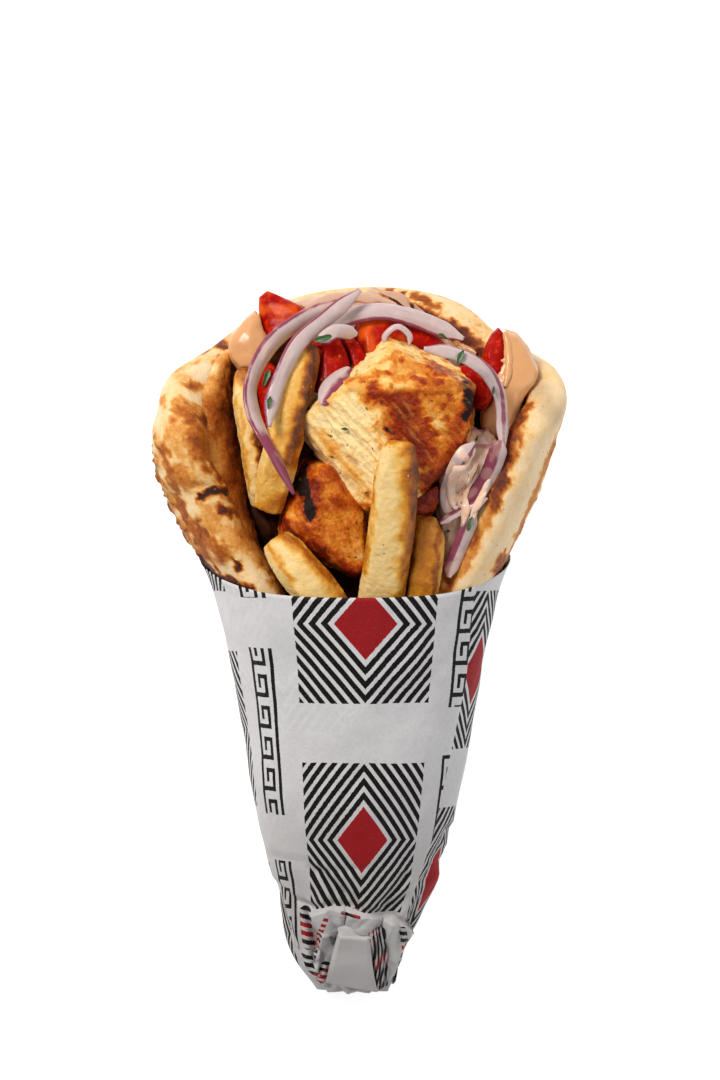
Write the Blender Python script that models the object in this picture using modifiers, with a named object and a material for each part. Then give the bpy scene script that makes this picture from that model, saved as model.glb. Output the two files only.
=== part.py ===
"""A souvlaki pita: a thick round pita rolled into an open cone round grilled chicken, fries, tomato,
red onion and sauce, in a paper wrap whose tail is folded shut.

It lies on its back, +Y towards the open mouth and +Z up. Lengths here are millimetres and angles
degrees, and add_solid turns them into metres. Shapes are laid out round the middle of the rolled
edge, and the empty layout_origin moves them so that the origin is under the middle of the whole.
"""

import math

import bmesh
import bpy
from mathutils import Vector, noise
from mathutils.bvhtree import BVHTree

METRES = 0.001
LAYOUT_SHIFT = (-0.2, 29.5)  # from the layout's origin to the middle of the whole, on X and Y

# Pita: a disc rolled about Y. Each station is (y, half width, half height) of the roll, both taken
# in the middle of the bread's thickness.
PITA_TOP_Y = 74.0
PITA_LOW_Y = -96.0
PITA_ROLL = (
    (-96.0, 17.0, 9.5),
    (-75.0, 21.8, 13.9),
    (-45.0, 26.2, 19.0),
    (-16.0, 32.2, 24.0),
    (-3.0, 39.4, 27.0),
    (8.0, 45.4, 29.0),
    (22.0, 50.3, 31.0),
    (37.0, 51.8, 33.0),
    (48.0, 49.6, 33.0),
    (58.0, 49.4, 33.0),
    (74.0, 53.0, 33.0),
)
PITA_SIDEWAYS = (
    (-96.0, -0.8), (-16.0, -0.6), (8.0, -2.2), (29.0, -1.2),
    (37.0, 1.0), (48.0, 2.2), (60.0, 1.2), (74.0, 4.0),
)
PITA_SWEEP = (  # how far the roll would reach round at each station, before the disc's outline trims it
    (-96.0, 168.0),
    (-50.0, 165.0),
    (-30.0, 151.0),
    (-15.0, 138.0),
    (0.0, 131.0),
    (20.0, 134.0),
    (30.0, 138.0),
    (38.0, 131.0),
    (48.0, 118.0),
    (58.0, 92.0),
    (74.0, 90.0),
)
PITA_INNER_HALF = 4.6  # half the bread's thickness inside the disc
PITA_RIM_HALF = 5.8  # and near its puffy edge
PITA_LEFT_EXTRA = 0.9  # the left edge is puffed more, above the paper
PITA_LEFT_ANGLES = (20.0, 90.0)  # from where to where the left side's extra grows
PITA_BARE_Y = (-12.0, 6.0)  # where the bread comes out of the paper
PITA_RIM_WIDTH = (8.0, 26.0)  # from the edge, where the rim's thickness starts and stops to fall
PITA_REACH = 90.0  # middle of the disc to its edge, along the bread
PITA_CLEAR = 1.9  # bread above the table, over the paper
LIP_LIFT = 8.0  # how far the back lip curls off the table
LIP_LIFT_FROM_Y = 6.0
PITA_AROUND = 64
PITA_RINGS = (0.0, 0.17, 0.32, 0.45, 0.57, 0.68, 0.78, 0.86, 0.915, 0.95, 0.975, 0.99, 1.0)
PITA_FOLDS = ((34.0, 3.0, 1.6), (13.0, 3.2, 2.6), (6.0, 3.0, 1.8), (-6.0, 3.4, 1.4))  # (y, width, depth)
PITA_FOLD_ANGLES = (70.0, 100.0)
PITA_FOLD_SHARES = (0.78, 0.92)
PITA_BUMP = 0.12
PITA_BUMP_SIZE = 11.0

# Paper: a tube of one sheet with the tail squeezed shut. Each station is (y, half width, half height).
PAPER_THICK = 0.45
PAPER_TAIL_Y = -133.0
PAPER_ROLL = (
    (-133.0, 9.6, 5.6),
    (-126.0, 13.4, 8.4),
    (-118.5, 16.7, 10.4),
    (-111.7, 19.2, 12.4),
    (-97.8, 24.4, 16.0),
    (-75.0, 29.6, 21.2),
    (-45.0, 34.3, 26.4),
    (-16.0, 40.5, 31.2),
    (-3.0, 46.4, 34.0),
    (10.0, 52.4, 36.6),
)
PAPER_SIDEWAYS = (
    (-133.0, -1.4), (-118.5, -3.4), (-108.0, -2.6), (-97.0, -1.2), (-16.0, -0.6), (10.0, -2.0),
)
PAPER_EDGE_FRONT_Y = -15.8
PAPER_EDGE_RISE = 23.0  # from the front of the top edge to its back
PAPER_EDGE_POWER = 1.3
PAPER_FLAT = 0.7  # how far the flat resting spot is pressed into the roll
FOOT_ANGLE = 9.0  # the flat's half width, as an angle round the roll
FOOT_X = -0.8
FOOT_HALF = ((-133.0, 2.2), (10.0, 6.9))  # (y, half width) of the flat, whose sides are straight
PLEATS_OFF_FOOT = 50.0  # angle from the flat's middle line where the pleats are at full depth
PAPER_AROUND = 40
PAPER_ALONG = (0.0, 0.07, 0.18, 0.3, 0.42, 0.53, 0.62, 0.7, 0.77, 0.825, 0.87, 0.91, 0.945, 0.975, 1.0)
PLEATS_FROM_Y = -92.0
PLEATS_FULL_Y = -116.0
PLEAT_DEPTH = 1.7
PLEAT_COUNT = 9
PLEAT_UNEVEN = 1.3  # how much closer the pleats lie on one side
PLEAT_LEAN = 0.08  # turn of the pleats for each millimetre along the wrap, in radians
TAIL_PUSHED_IN = 5.0
TAIL_CAP_RING = (0.5, 0.7)  # share of the way to the cap's middle, and of its depth there
TAIL_FLAP = (-2.5, -123.5, 5.6, 8.5, 3.2)  # middle x and y, half sizes and height of the turned up flap
FLAP_EDGE = 1.7  # half the width of the flap's sloping edge

# Filling. Outlines are (x, y) corners seen from above.
GROWTH = 0.66  # a cutter's swelling
MOST_CORNER_GROWTH = 1.8  # how much further a sharp corner moves
MERGE = 0.02
SHORTEST_EDGE = 0.01
SPLINE_STEPS = 12  # straight steps between two points of an outline or route
BAR_END_POWER = 0.4  # how abruptly a bar narrows at its ends
FAR = 300.0  # beyond everything, where rays start

CORE_ALONG = 18
CORE_BELOW = 10
CORE_ABOVE = 11
CORE_LOW_Y = -86.0
CORE_TOP_Y = 53.0
CORE_GAP = 2.7
CORE_SIDE_ANGLES = (84, 12, -3)  # where the core's sides may meet the bread: highest, lowest and step
FLOOR_ANGLES = (-90, 91, 6)  # where the bread's inner face is looked up
CORE_CLEAR = 0.8  # below the pieces and above the bread's inside
CORE_NEAR = (-4.0, -2.0, 0.0, 2.0, 4.0)  # how far round a point the core looks for pieces over it
CORE_BUMP = 1.2
CORE_BUMP_SIZE = 9.0
HEAP = (  # height of the hidden filling along Y
    (-86.0, 26.0),
    (-60.0, 43.0),
    (-30.0, 53.0),
    (-16.0, 55.5),
    (-8.0, 52.0),
    (8.0, 48.0),
    (22.0, 47.0),
    (38.0, 42.0),
    (53.0, 32.0),
)
HEAP_FALL = 9.0  # how much lower the heap is at its sides
HEAP_HALF_WIDTH = 42.0

CHICKEN_SHARES = (0.42, 0.74, 0.92)
CHICKEN = (  # (name, outline, middle height, slopes, half thickness, points round, crag depth and size)
    ("chicken_big", (
        (-16.0, 31.6), (-8.7, 37.8), (-4.0, 42.2), (3.2, 49.4), (10.2, 52.4), (21.5, 47.8), (29.4, 44.0),
        (32.4, 34.8), (28.2, 24.6), (20.0, 15.0), (10.9, 9.6), (0.5, 9.0), (-6.0, 17.0),
    ), 54.0, (0.1, 0.25), 13.5, 28, 2.4, 9.0),
    ("chicken_left", (
        (-21.2, 9.7), (-18.4, 17.0), (-11.0, 22.4), (-2.0, 21.0), (2.5, 12.0), (2.6, -11.5), (-1.5, -13.5),
        (-8.3, -5.0), (-17.2, -1.6), (-21.8, 2.2),
    ), 44.6, (0.0, 0.1), 11.0, 26, 2.2, 8.0),
    ("chicken_right", (
        (8.0, 22.6), (20.6, 21.0), (22.4, 12.0), (17.6, 4.0), (8.5, 2.0), (6.0, 12.0),
    ), 49.0, (0.0, 0.1), 8.0, 18, 1.8, 6.0),
)
TOMATOES = (  # (name, outline, middle height, slope on x and y, half thickness)
    ("tomato_back_left",
     ((-29.0, 66.0), (-28.4, 70.6), (-25.6, 71.2), (-14.4, 65.0), (-15.6, 59.5), (-25.8, 55.5)),
     31.0, (0.25, -0.2), 7.0),
    ("tomato_back", ((0.2, 63.4), (12.2, 62.6), (13.0, 50.0), (6.0, 46.0), (0.0, 50.0)),
     38.0, (0.0, -0.3), 6.5),
    ("tomato_back_right", ((12.4, 62.0), (20.0, 61.4), (25.0, 54.0), (22.0, 48.0), (13.6, 50.0)),
     35.0, (-0.15, -0.3), 6.0),
    ("tomato_middle_left", ((-14.0, 55.0), (-6.6, 58.0), (-2.2, 46.0), (-9.0, 38.0), (-14.0, 45.0)),
     45.0, (0.1, -0.25), 6.0),
    ("tomato_middle", ((-5.6, 57.4), (-2.4, 57.8), (4.4, 48.0), (2.0, 42.0), (-1.6, 46.6)),
     43.0, (0.1, -0.3), 5.5),
    ("tomato_right", ((35.0, 53.6), (39.2, 60.4), (42.0, 55.2), (40.9, 45.2), (36.0, 45.0)),
     38.0, (0.1, -0.25), 6.0),
    ("tomato_low_right", ((28.0, 49.0), (36.4, 46.4), (37.2, 39.6), (34.0, 36.0), (30.5, 40.0)),
     46.0, (0.1, -0.2), 5.5),
    ("tomato_left", ((-28.0, 49.0), (-22.6, 48.0), (-21.6, 32.0), (-26.4, 29.0), (-28.6, 38.0)),
     41.0, (0.1, -0.1), 5.0),
)
TOMATO_SHARES = (0.6, 0.92)  # rings of points, as shares of the way from the middle to the outline
TOMATO_LUMP = (14, 4.0, 0.5, 7.0)  # points round, squareness, roughness and its size
SAUCES = (
    ("sauce_back", ((-20.0, 68.6), (-9.0, 71.8), (3.0, 71.8), (10.6, 68.6), (17.0, 63.4), (27.0, 57.0),
                    (30.0, 49.0), (18.0, 46.0), (-2.0, 50.0), (-18.0, 56.0)), 27.0, (0.0, -0.35), 8.0),
    ("sauce_left",
     ((-37.4, 55.6), (-34.2, 61.8), (-28.0, 66.0), (-24.0, 56.0), (-29.0, 45.8), (-35.4, 49.0)),
     34.0, (0.0, -0.2), 6.0),
    ("sauce_right", ((41.0, 60.6), (46.4, 56.4), (50.6, 48.6), (51.0, 43.8), (46.0, 38.4), (45.2, 32.6),
                     (41.0, 26.0), (34.0, 30.0), (35.0, 45.0), (36.0, 56.0)), 41.0, (0.1, -0.15), 6.0),
    ("sauce_low_right", ((22.0, 26.0), (31.0, 31.0), (39.6, 28.0), (39.0, 17.0), (34.0, 7.0), (30.0, -3.0),
                         (26.0, -13.0), (21.6, -11.0), (22.6, 2.0), (21.0, 14.0)), 46.0, (0.0, 0.1), 6.5),
)
SAUCE_SHARES = (0.5, 0.85)
SAUCE_LUMP = (20, 2.4, 0.9, 8.0)
CHICKEN_SQUARE = 3.5
FRIES = (  # (name, route of its middle, width, height, seed)
    ("fry_front",
     ((3.5, -40.0, 38.0), (6.0, -16.0, 52.0), (8.5, 0.0, 60.0), (10.2, 17.0, 67.0), (11.0, 26.5, 70.5)),
     12.8, 11.0, 3),
    ("fry_low_left", ((-23.5, 0.5, 52.0), (-17.0, -8.0, 53.0), (-9.5, -18.0, 50.5), (-3.5, -34.0, 40.0)),
     12.6, 11.0, 7),
    ("fry_low_right", ((15.0, -36.0, 39.0), (16.8, -16.0, 50.0), (18.8, -4.0, 54.0), (18.6, 6.5, 56.0)),
     9.8, 10.5, 11),
    ("fry_left", ((-14.4, 54.5, 50.0), (-17.6, 42.0, 53.0), (-21.2, 26.0, 53.0), (-25.4, 8.5, 49.0)),
     10.6, 11.0, 19),
    ("fry_far_left", ((-33.2, 48.5, 42.0), (-31.6, 35.0, 44.0), (-29.4, 22.0, 44.0), (-28.0, 10.0, 41.0)),
     6.6, 9.5, 23),
)
FRY_STATIONS = 9
FRY_SIDES = 10
FRY_SQUARE = 3.6
FRY_END = 0.72  # share of its width at its ends
FRY_ROUGH = 0.5
FRY_ROUGH_SIZE = 8.0
ONIONS = (  # (name, route at the height over a gap, width, thickness, turns, parsley places)
    ("onion_back_arc", ((-9.5, 59.0, 42.0), (-2.8, 62.9, 42.0), (5.6, 64.4, 42.0), (13.9, 63.0, 42.0),
                        (22.3, 60.0, 42.0), (29.4, 56.6, 41.0)), 4.4, 1.7, (20.0, 10.0), (0.3,)),
    ("onion_outer_arc", ((-3.1, 67.6, 44.0), (-15.9, 61.0, 49.0), (-24.6, 53.6, 53.0),
                         (-29.4, 43.3, 55.0), (-29.0, 36.2, 56.0), (-26.6, 30.2, 58.0),
                         (-22.0, 21.8, 60.0), (-17.8, 12.6, 59.0)),
     3.7, 1.5, (15.0, 70.0), (0.36, 0.5)),
    ("onion_inner_arc", ((0.2, 69.8, 47.0), (-4.2, 65.8, 49.0), (-9.7, 60.9, 51.0), (-16.4, 54.5, 53.0),
                         (-20.8, 46.0, 54.0), (-23.6, 38.0, 55.0), (-24.6, 31.0, 54.0)),
     3.8, 1.5, (10.0, 30.0), ()),
    ("onion_right_arc", ((17.6, 52.2, 64.0), (24.5, 51.6, 64.0), (30.4, 49.4, 63.0), (35.6, 45.6, 61.0),
                         (38.9, 40.0, 58.0), (39.8, 33.6, 55.0), (39.6, 25.0, 52.0)),
     3.4, 1.5, (15.0, 50.0), (0.34,)),
    ("onion_ring", ((7.6, 54.4, 46.0), (7.4, 57.0, 48.0), (10.6, 59.4, 48.5), (13.8, 57.2, 48.0),
                    (13.8, 54.4, 46.0)), 1.6, 1.6, (0.0, 0.0), ()),
    ("onion_petal", ((-13.6, 38.0, 52.0), (-11.8, 43.6, 53.0), (-8.4, 48.4, 53.0), (-4.4, 51.6, 52.0)),
     6.4, 1.4, (10.0, -10.0), ()),
    ("onion_white", ((-10.6, 56.0, 48.0), (-6.4, 59.4, 48.0), (-1.2, 58.4, 47.0)),
     3.6, 1.4, (10.0, 0.0), (0.4,)),
    ("onion_low_left", ((30.4, 26.0, 53.0), (27.0, 21.0, 53.0), (25.2, 14.6, 53.0), (26.0, 8.6, 52.0)),
     3.4, 1.3, (10.0, 20.0), ()),
    ("onion_low_right", ((38.8, 27.0, 52.0), (37.0, 20.0, 52.0), (34.2, 14.6, 52.0), (30.4, 10.0, 51.0)),
     3.8, 1.3, (20.0, 10.0), ()),
    ("onion_low_tail", ((31.2, 6.4, 51.0), (28.8, 0.0, 51.0), (25.4, -9.6, 49.0)),
     3.6, 1.4, (20.0, 30.0), (0.2,)),
    ("onion_low_cross", ((22.6, 4.4, 50.0), (29.4, 8.4, 52.0), (36.6, 11.4, 53.0)),
     3.0, 1.2, (10.0, 10.0), ()),
)
STRIP_SAMPLES = 13  # places where a strip is lifted over what lies under it
STRIP_STATIONS = 11
STRIP_SIDES = 6
STRIP_SQUARE = 2.6
STRIP_END = 0.5
STRIP_CLEAR = 0.8
STRIP_TILT = 0.6  # share of a tilted strip's half width that it is lifted
FLAKE_SIZE = (2.6, 1.1)  # half length and half width of a parsley leaf
FLAKE_RISE = 0.7  # how far it stands out of the strip
FLAKE_SIDES = 6
FLAKE_TURN = 1.7  # from one leaf's seed to the next, in radians
SHARP_ANGLE = 50.0

COLOURS = {  # (red, green, blue), roughness, metallic
    "bread": ((0.80, 0.56, 0.29), 0.72, 0.0),
    "paper": ((0.78, 0.76, 0.75), 0.6, 0.0),
    "chicken": ((0.72, 0.42, 0.13), 0.5, 0.0),
    "fry": ((0.80, 0.50, 0.14), 0.5, 0.0),
    "tomato": ((0.70, 0.06, 0.02), 0.25, 0.0),
    "onion": ((0.72, 0.46, 0.55), 0.3, 0.0),
    "sauce": ((0.86, 0.52, 0.33), 0.25, 0.0),
    "filling": ((0.16, 0.07, 0.03), 0.7, 0.0),
}


def start_scene():
    """Empties the scene, and returns collections for parts and cutters and the empty that carries them."""
    for old in list(bpy.data.objects):
        bpy.data.objects.remove(old)
    parts = bpy.data.collections.new("souvlaki_pita")
    cutters = bpy.data.collections.new("cutters")
    for collection in (parts, cutters):
        bpy.context.scene.collection.children.link(collection)
    origin = bpy.data.objects.new("layout_origin", None)
    origin.location = (LAYOUT_SHIFT[0] * METRES, LAYOUT_SHIFT[1] * METRES, 0.0)
    parts.objects.link(origin)
    return parts, cutters, origin


def make_materials():
    made = {}
    for name, (colour, roughness, metallic) in COLOURS.items():
        material = bpy.data.materials.new(name)
        material.use_nodes = True
        shader = material.node_tree.nodes["Principled BSDF"]
        shader.inputs["Base Color"].default_value = (*colour, 1.0)
        shader.inputs["Roughness"].default_value = roughness
        shader.inputs["Metallic"].default_value = metallic
        made[name] = material
    return made


def between(table, at):
    """What a table of (place, value, ...) rows gives at a place, on a smooth curve through them."""
    at = min(max(at, table[0][0]), table[-1][0])
    index = max(i for i in range(len(table) - 1) if table[i][0] <= at)
    before = table[max(index - 1, 0)]
    low, high = table[index], table[index + 1]
    after = table[min(index + 2, len(table) - 1)]
    span = high[0] - low[0]
    t = (at - low[0]) / span
    values = []
    for k in range(1, len(low)):
        slope_low = (high[k] - before[k]) / (high[0] - before[0]) * span
        slope_high = (after[k] - low[k]) / (after[0] - low[0]) * span
        values.append(
            (2 * t**3 - 3 * t**2 + 1) * low[k] + (t**3 - 2 * t**2 + t) * slope_low
            + (3 * t**2 - 2 * t**3) * high[k] + (t**3 - t**2) * slope_high
        )
    return values[0] if len(values) == 1 else tuple(values)


def curve_through(points, count, closed=False):
    """Count points on a smooth curve through the given ones, at equal steps along it."""
    points = [Vector(point) for point in points]
    last = len(points) if closed else len(points) - 1
    fine = []
    for i in range(last):
        if closed:
            a, b, c, d = (points[(i + k) % len(points)] for k in (-1, 0, 1, 2))
        else:
            a, b, c, d = (points[min(max(i + k, 0), last)] for k in (-1, 0, 1, 2))
        for step in range(SPLINE_STEPS):
            t = step / SPLINE_STEPS
            bend = (2 * a - 5 * b + 4 * c - d) * t**2 + (3 * b - a - 3 * c + d) * t**3
            fine.append(b + 0.5 * ((c - a) * t + bend))
    fine.append(points[0] if closed else points[-1])
    reached = [0.0]
    for one, two in zip(fine, fine[1:]):
        reached.append(reached[-1] + (two - one).length)
    spaces = count if closed else count - 1
    found = []
    index = 0
    for step in range(count):
        wanted = reached[-1] * step / spaces
        while index < len(fine) - 2 and reached[index + 1] < wanted:
            index += 1
        share = (wanted - reached[index]) / max(reached[index + 1] - reached[index], 1e-9)
        found.append(fine[index].lerp(fine[index + 1], share))
    return found


def eased(value, low, high):
    """0 below low, 1 above high, and smooth between."""
    t = min(max((value - low) / (high - low), 0.0), 1.0)
    return t * t * (3 - 2 * t)


def add_solid(name, points, faces, material):
    """A new object from millimetre points, its faces turned outwards."""
    mesh = bpy.data.meshes.new(name)
    mesh.from_pydata([tuple(METRES * value for value in point) for point in points], [], faces)
    work = bmesh.new()
    work.from_mesh(mesh)
    bmesh.ops.recalc_face_normals(work, faces=work.faces)
    if work.calc_volume(signed=True) < 0:
        bmesh.ops.reverse_faces(work, faces=work.faces)
    work.to_mesh(mesh)
    work.free()
    mesh.materials.append(material)
    solid = bpy.data.objects.new(name, mesh)
    PARTS.objects.link(solid)
    solid.parent = ORIGIN
    return solid


def roughen(solid, depth, size, seed):
    """Moves each point along its normal by smooth noise, for crags and unevenness."""
    mesh = solid.data
    offsets = []
    for vertex in mesh.vertices:
        where = vertex.co / (size * METRES) + Vector((seed * 3.7, seed * 1.3, seed * 2.1))
        offsets.append(vertex.normal * noise.noise(where) * depth * METRES)
    for vertex, offset in zip(mesh.vertices, offsets):
        vertex.co += offset


def rings_to_faces(rings, around):
    """Quads between rings of points that follow each other, as index lists."""
    faces = []
    for k in range(rings - 1):
        for i in range(around):
            j = (i + 1) % around
            faces.append((k * around + i, k * around + j, (k + 1) * around + j, (k + 1) * around + i))
    return faces


# --- Pita ---------------------------------------------------------------------------------------


def pita_middle(y, angle):
    """A point in the middle of the bread, at an angle round the roll from its lowest line."""
    half_width, half_height = between(PITA_ROLL, y)
    lift = LIP_LIFT * max((y - LIP_LIFT_FROM_Y) / (PITA_TOP_Y - LIP_LIFT_FROM_Y), 0.0) ** 2
    turn = math.radians(angle)
    low = PITA_CLEAR + PITA_INNER_HALF + lift
    return Vector((
        between(PITA_SIDEWAYS, y) + half_width * math.sin(turn),
        y,
        low + half_height * (1 - math.cos(turn)),
    ))


def pita_half(y, angle, share):
    """Half the bread's thickness, at a share of the way from the disc's middle to its edge."""
    rim = PITA_RIM_HALF + PITA_LEFT_EXTRA * eased(-angle, *PITA_LEFT_ANGLES) * eased(y, *PITA_BARE_Y)
    from_edge = PITA_REACH * (1 - share)
    half = PITA_INNER_HALF + (rim - PITA_INNER_HALF) * (1 - eased(from_edge, *PITA_RIM_WIDTH))
    here = pita_middle(y, angle) / PITA_BUMP_SIZE
    half *= 1 + PITA_BUMP * noise.noise(here)
    if from_edge < half:
        half *= math.sqrt(1 - (1 - from_edge / half) ** 2)
    return half


def pita_out(y, angle):
    """The direction out of the roll's middle surface."""
    along = pita_middle(y + 0.5, angle) - pita_middle(y - 0.5, angle)
    across = pita_middle(y, angle + 0.5) - pita_middle(y, angle - 0.5)
    return along.cross(across).normalized()


def pita_fold(y, angle, share):
    """How far short folds dent the left edge of the roll."""
    depth = sum(deep * math.exp(-(((y - place) / width) ** 2)) for place, width, deep in PITA_FOLDS)
    return depth * eased(-angle, *PITA_FOLD_ANGLES) * eased(share, *PITA_FOLD_SHARES)


def make_pita(material):
    middle_y = (PITA_TOP_Y + PITA_LOW_Y) / 2
    reach_y = (PITA_TOP_Y - PITA_LOW_Y) / 2
    outside, inside = [], []
    for share in PITA_RINGS[1:]:
        for i in range(PITA_AROUND):
            turn = 2 * math.pi * i / PITA_AROUND
            y = middle_y + reach_y * share * math.sin(turn)
            angle = between(PITA_SWEEP, y) * share * math.cos(turn)
            half = pita_half(y, angle, share)
            out = pita_out(y, angle)
            middle = pita_middle(y, angle) - out * pita_fold(y, angle, share)
            outside.append(middle + out * half)
            if share < 1:
                inside.append(middle - out * half)
    rings = len(PITA_RINGS) - 1
    points = outside + inside
    faces = rings_to_faces(rings, PITA_AROUND)
    first_inside = len(outside)
    edge = (rings - 1) * PITA_AROUND
    for k in range(rings - 1):
        inner = first_inside + k * PITA_AROUND
        outer = inner + PITA_AROUND if k < rings - 2 else edge
        for i in range(PITA_AROUND):
            j = (i + 1) % PITA_AROUND
            faces.append((inner + j, inner + i, outer + i, outer + j))
    for side, start in ((1, 0), (-1, first_inside)):
        pole = len(points)
        points.append(pita_middle(middle_y, 0.0) + pita_out(middle_y, 0.0) * side * PITA_INNER_HALF)
        for i in range(PITA_AROUND):
            faces.append((pole, start + i, start + (i + 1) % PITA_AROUND))
    return add_solid("pita", points, faces, material)


# --- Paper --------------------------------------------------------------------------------------


def paper_point(along, angle):
    """A point of the paper's outside: along is 0 at the top edge and 1 at the tail, angle 0 in front."""
    turn = math.radians(angle)
    edge_y = PAPER_EDGE_FRONT_Y + PAPER_EDGE_RISE * ((1 - math.cos(turn)) / 2) ** PAPER_EDGE_POWER
    y = edge_y + (PAPER_TAIL_Y - edge_y) * along
    half_width, half_height = between(PAPER_ROLL, y)
    pleated = 1 - eased(y, PLEATS_FULL_Y, PLEATS_FROM_Y)
    swing = math.cos(PLEAT_COUNT * turn + PLEAT_UNEVEN * math.sin(2 * turn) + PLEAT_LEAN * y)
    from_foot = abs(angle - 180.0)
    shrink = pleated * PLEAT_DEPTH * swing * eased(from_foot, FOOT_ANGLE, PLEATS_OFF_FOOT)
    x = between(PAPER_SIDEWAYS, y) + (half_width + shrink) * math.sin(turn)
    z = half_height * (1 + math.cos(turn)) + shrink * math.cos(turn) - PAPER_FLAT
    middle_x, middle_y, half_x, half_y, height = TAIL_FLAP
    if math.cos(turn) > 0:
        over_x = 1 - eased(abs(x - middle_x), half_x - FLAP_EDGE, half_x + FLAP_EDGE)
        over_y = 1 - eased(abs(y - middle_y), half_y - FLAP_EDGE, half_y + FLAP_EDGE)
        z += height * over_x * over_y
    if from_foot <= FOOT_ANGLE:
        return Vector((FOOT_X + between(FOOT_HALF, y) * (180.0 - angle) / FOOT_ANGLE, y, 0.0))
    return Vector((x, y, max(z, 0.0)))


def make_paper(material):
    points = []
    for along in PAPER_ALONG:
        for i in range(PAPER_AROUND):
            points.append(paper_point(along, 360.0 * i / PAPER_AROUND))
    ring = points[-PAPER_AROUND:]
    middle = sum(ring, Vector()) / PAPER_AROUND
    inwards, deep = TAIL_CAP_RING
    points += [point.lerp(middle, inwards) + Vector((0.0, TAIL_PUSHED_IN * deep, 0.0)) for point in ring]
    faces = rings_to_faces(len(PAPER_ALONG) + 1, PAPER_AROUND)
    last = len(points) - PAPER_AROUND
    pole = len(points)
    points.append(middle + Vector((0.0, TAIL_PUSHED_IN, 0.0)))
    faces += [(pole, last + i, last + (i + 1) % PAPER_AROUND) for i in range(PAPER_AROUND)]
    mesh = bpy.data.meshes.new("paper")
    mesh.from_pydata([point * METRES for point in points], [], faces)
    mesh.materials.append(material)
    paper = bpy.data.objects.new("paper", mesh)
    PARTS.objects.link(paper)
    paper.parent = ORIGIN
    shell = paper.modifiers.new("shell", "SOLIDIFY")
    shell.thickness = PAPER_THICK * METRES
    shell.offset = -1.0 if faces_point_out(mesh) else 1.0
    return paper


def faces_point_out(mesh):
    """Whether the faces of a tube round Y look away from its middle line."""
    face = mesh.polygons[0]
    middle = sum((vertex.co for vertex in mesh.vertices), Vector()) / len(mesh.vertices)
    return (face.center - middle).dot(face.normal) > 0


# --- Filling ------------------------------------------------------------------------------------


def make_lump(name, outline, height, slope, half, material, around, squareness, rough, size, seed, shares):
    """A closed lump over an outline: crowned above and below a sloping middle plane."""
    rim = curve_through([(x, y, 0.0) for x, y in outline], around, closed=True)
    centre = sum(rim, Vector()) / around

    def place(point, side, share):
        crown = (1 - share**squareness) ** (1 / squareness)
        middle = height + slope[0] * (point.x - centre.x) + slope[1] * (point.y - centre.y)
        return Vector((point.x, point.y, middle + side * half * crown))

    points = []
    for side, ring_shares in ((1, shares), (0, (1.0,)), (-1, shares[::-1])):
        for share in ring_shares:
            for point in rim:
                points.append(place(centre.lerp(point, share), side, share))
    rings = 2 * len(shares) + 1
    faces = rings_to_faces(rings, around)
    top = len(points)
    points.append(place(centre, 1, 0.0))
    points.append(place(centre, -1, 0.0))
    start = (rings - 1) * around
    for i in range(around):
        j = (i + 1) % around
        faces.append((top, j, i))
        faces.append((top + 1, start + i, start + j))
    solid = add_solid(name, points, faces, material)
    roughen(solid, rough, size, seed)
    return solid


def make_bar(name, route, width, height, material, stations, sides, squareness, turns, ends):
    """A solid swept along a route, with a rounded section that narrows at both ends."""
    path = curve_through(route, stations)
    points = []
    for k, middle in enumerate(path):
        ahead = (path[min(k + 1, stations - 1)] - path[max(k - 1, 0)]).normalized()
        side = ahead.cross(Vector((0.0, 0.0, 1.0))).normalized()
        up = side.cross(ahead)
        share = k / (stations - 1)
        turn = math.radians(turns[0] + (turns[1] - turns[0]) * share)
        side, up = side * math.cos(turn) + up * math.sin(turn), up * math.cos(turn) - side * math.sin(turn)
        narrow = ends + (1 - ends) * max(math.sin(math.pi * share), 0.0) ** BAR_END_POWER
        for i in range(sides):
            angle = 2 * math.pi * (i + 0.5) / sides
            powers = abs(math.cos(angle)) ** squareness + abs(math.sin(angle)) ** squareness
            reach = powers ** (-1 / squareness)
            across = side * (math.cos(angle) * reach * width / 2 * narrow)
            over = up * (math.sin(angle) * reach * height / 2 * narrow)
            points.append(middle + across + over)
    faces = rings_to_faces(stations, sides)
    faces.append(tuple(range(sides)))
    faces.append(tuple((stations - 1) * sides + i for i in range(sides)))
    return add_solid(name, points, faces, material)


def make_fry(name, route, width, height, seed):
    fry = make_bar(
        name, route, width, height, MATERIALS["fry"], FRY_STATIONS, FRY_SIDES, FRY_SQUARE, (0.0, 0.0), FRY_END
    )
    roughen(fry, FRY_ROUGH, FRY_ROUGH_SIZE, seed)
    return fry


def tree_of(solid):
    work = bmesh.new()
    work.from_mesh(solid.data)
    tree = BVHTree.FromBMesh(work)
    work.free()
    return tree


def highest_at(trees, x, y):
    """The top of the placed solids at a point seen from above, or None."""
    hits = [tree.ray_cast(Vector((x, y, FAR)) * METRES, Vector((0, 0, -1)))[0] for tree in trees]
    heights = [hit.z / METRES for hit in hits if hit]
    return max(heights) if heights else None


def lowest_at(trees, x, y, start=-FAR):
    """The lowest underside of the placed solids above a point, or None."""
    hits = [tree.ray_cast(Vector((x, y, start)) * METRES, Vector((0, 0, 1)))[0] for tree in trees]
    heights = [hit.z / METRES for hit in hits if hit]
    return min(heights) if heights else None


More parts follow.
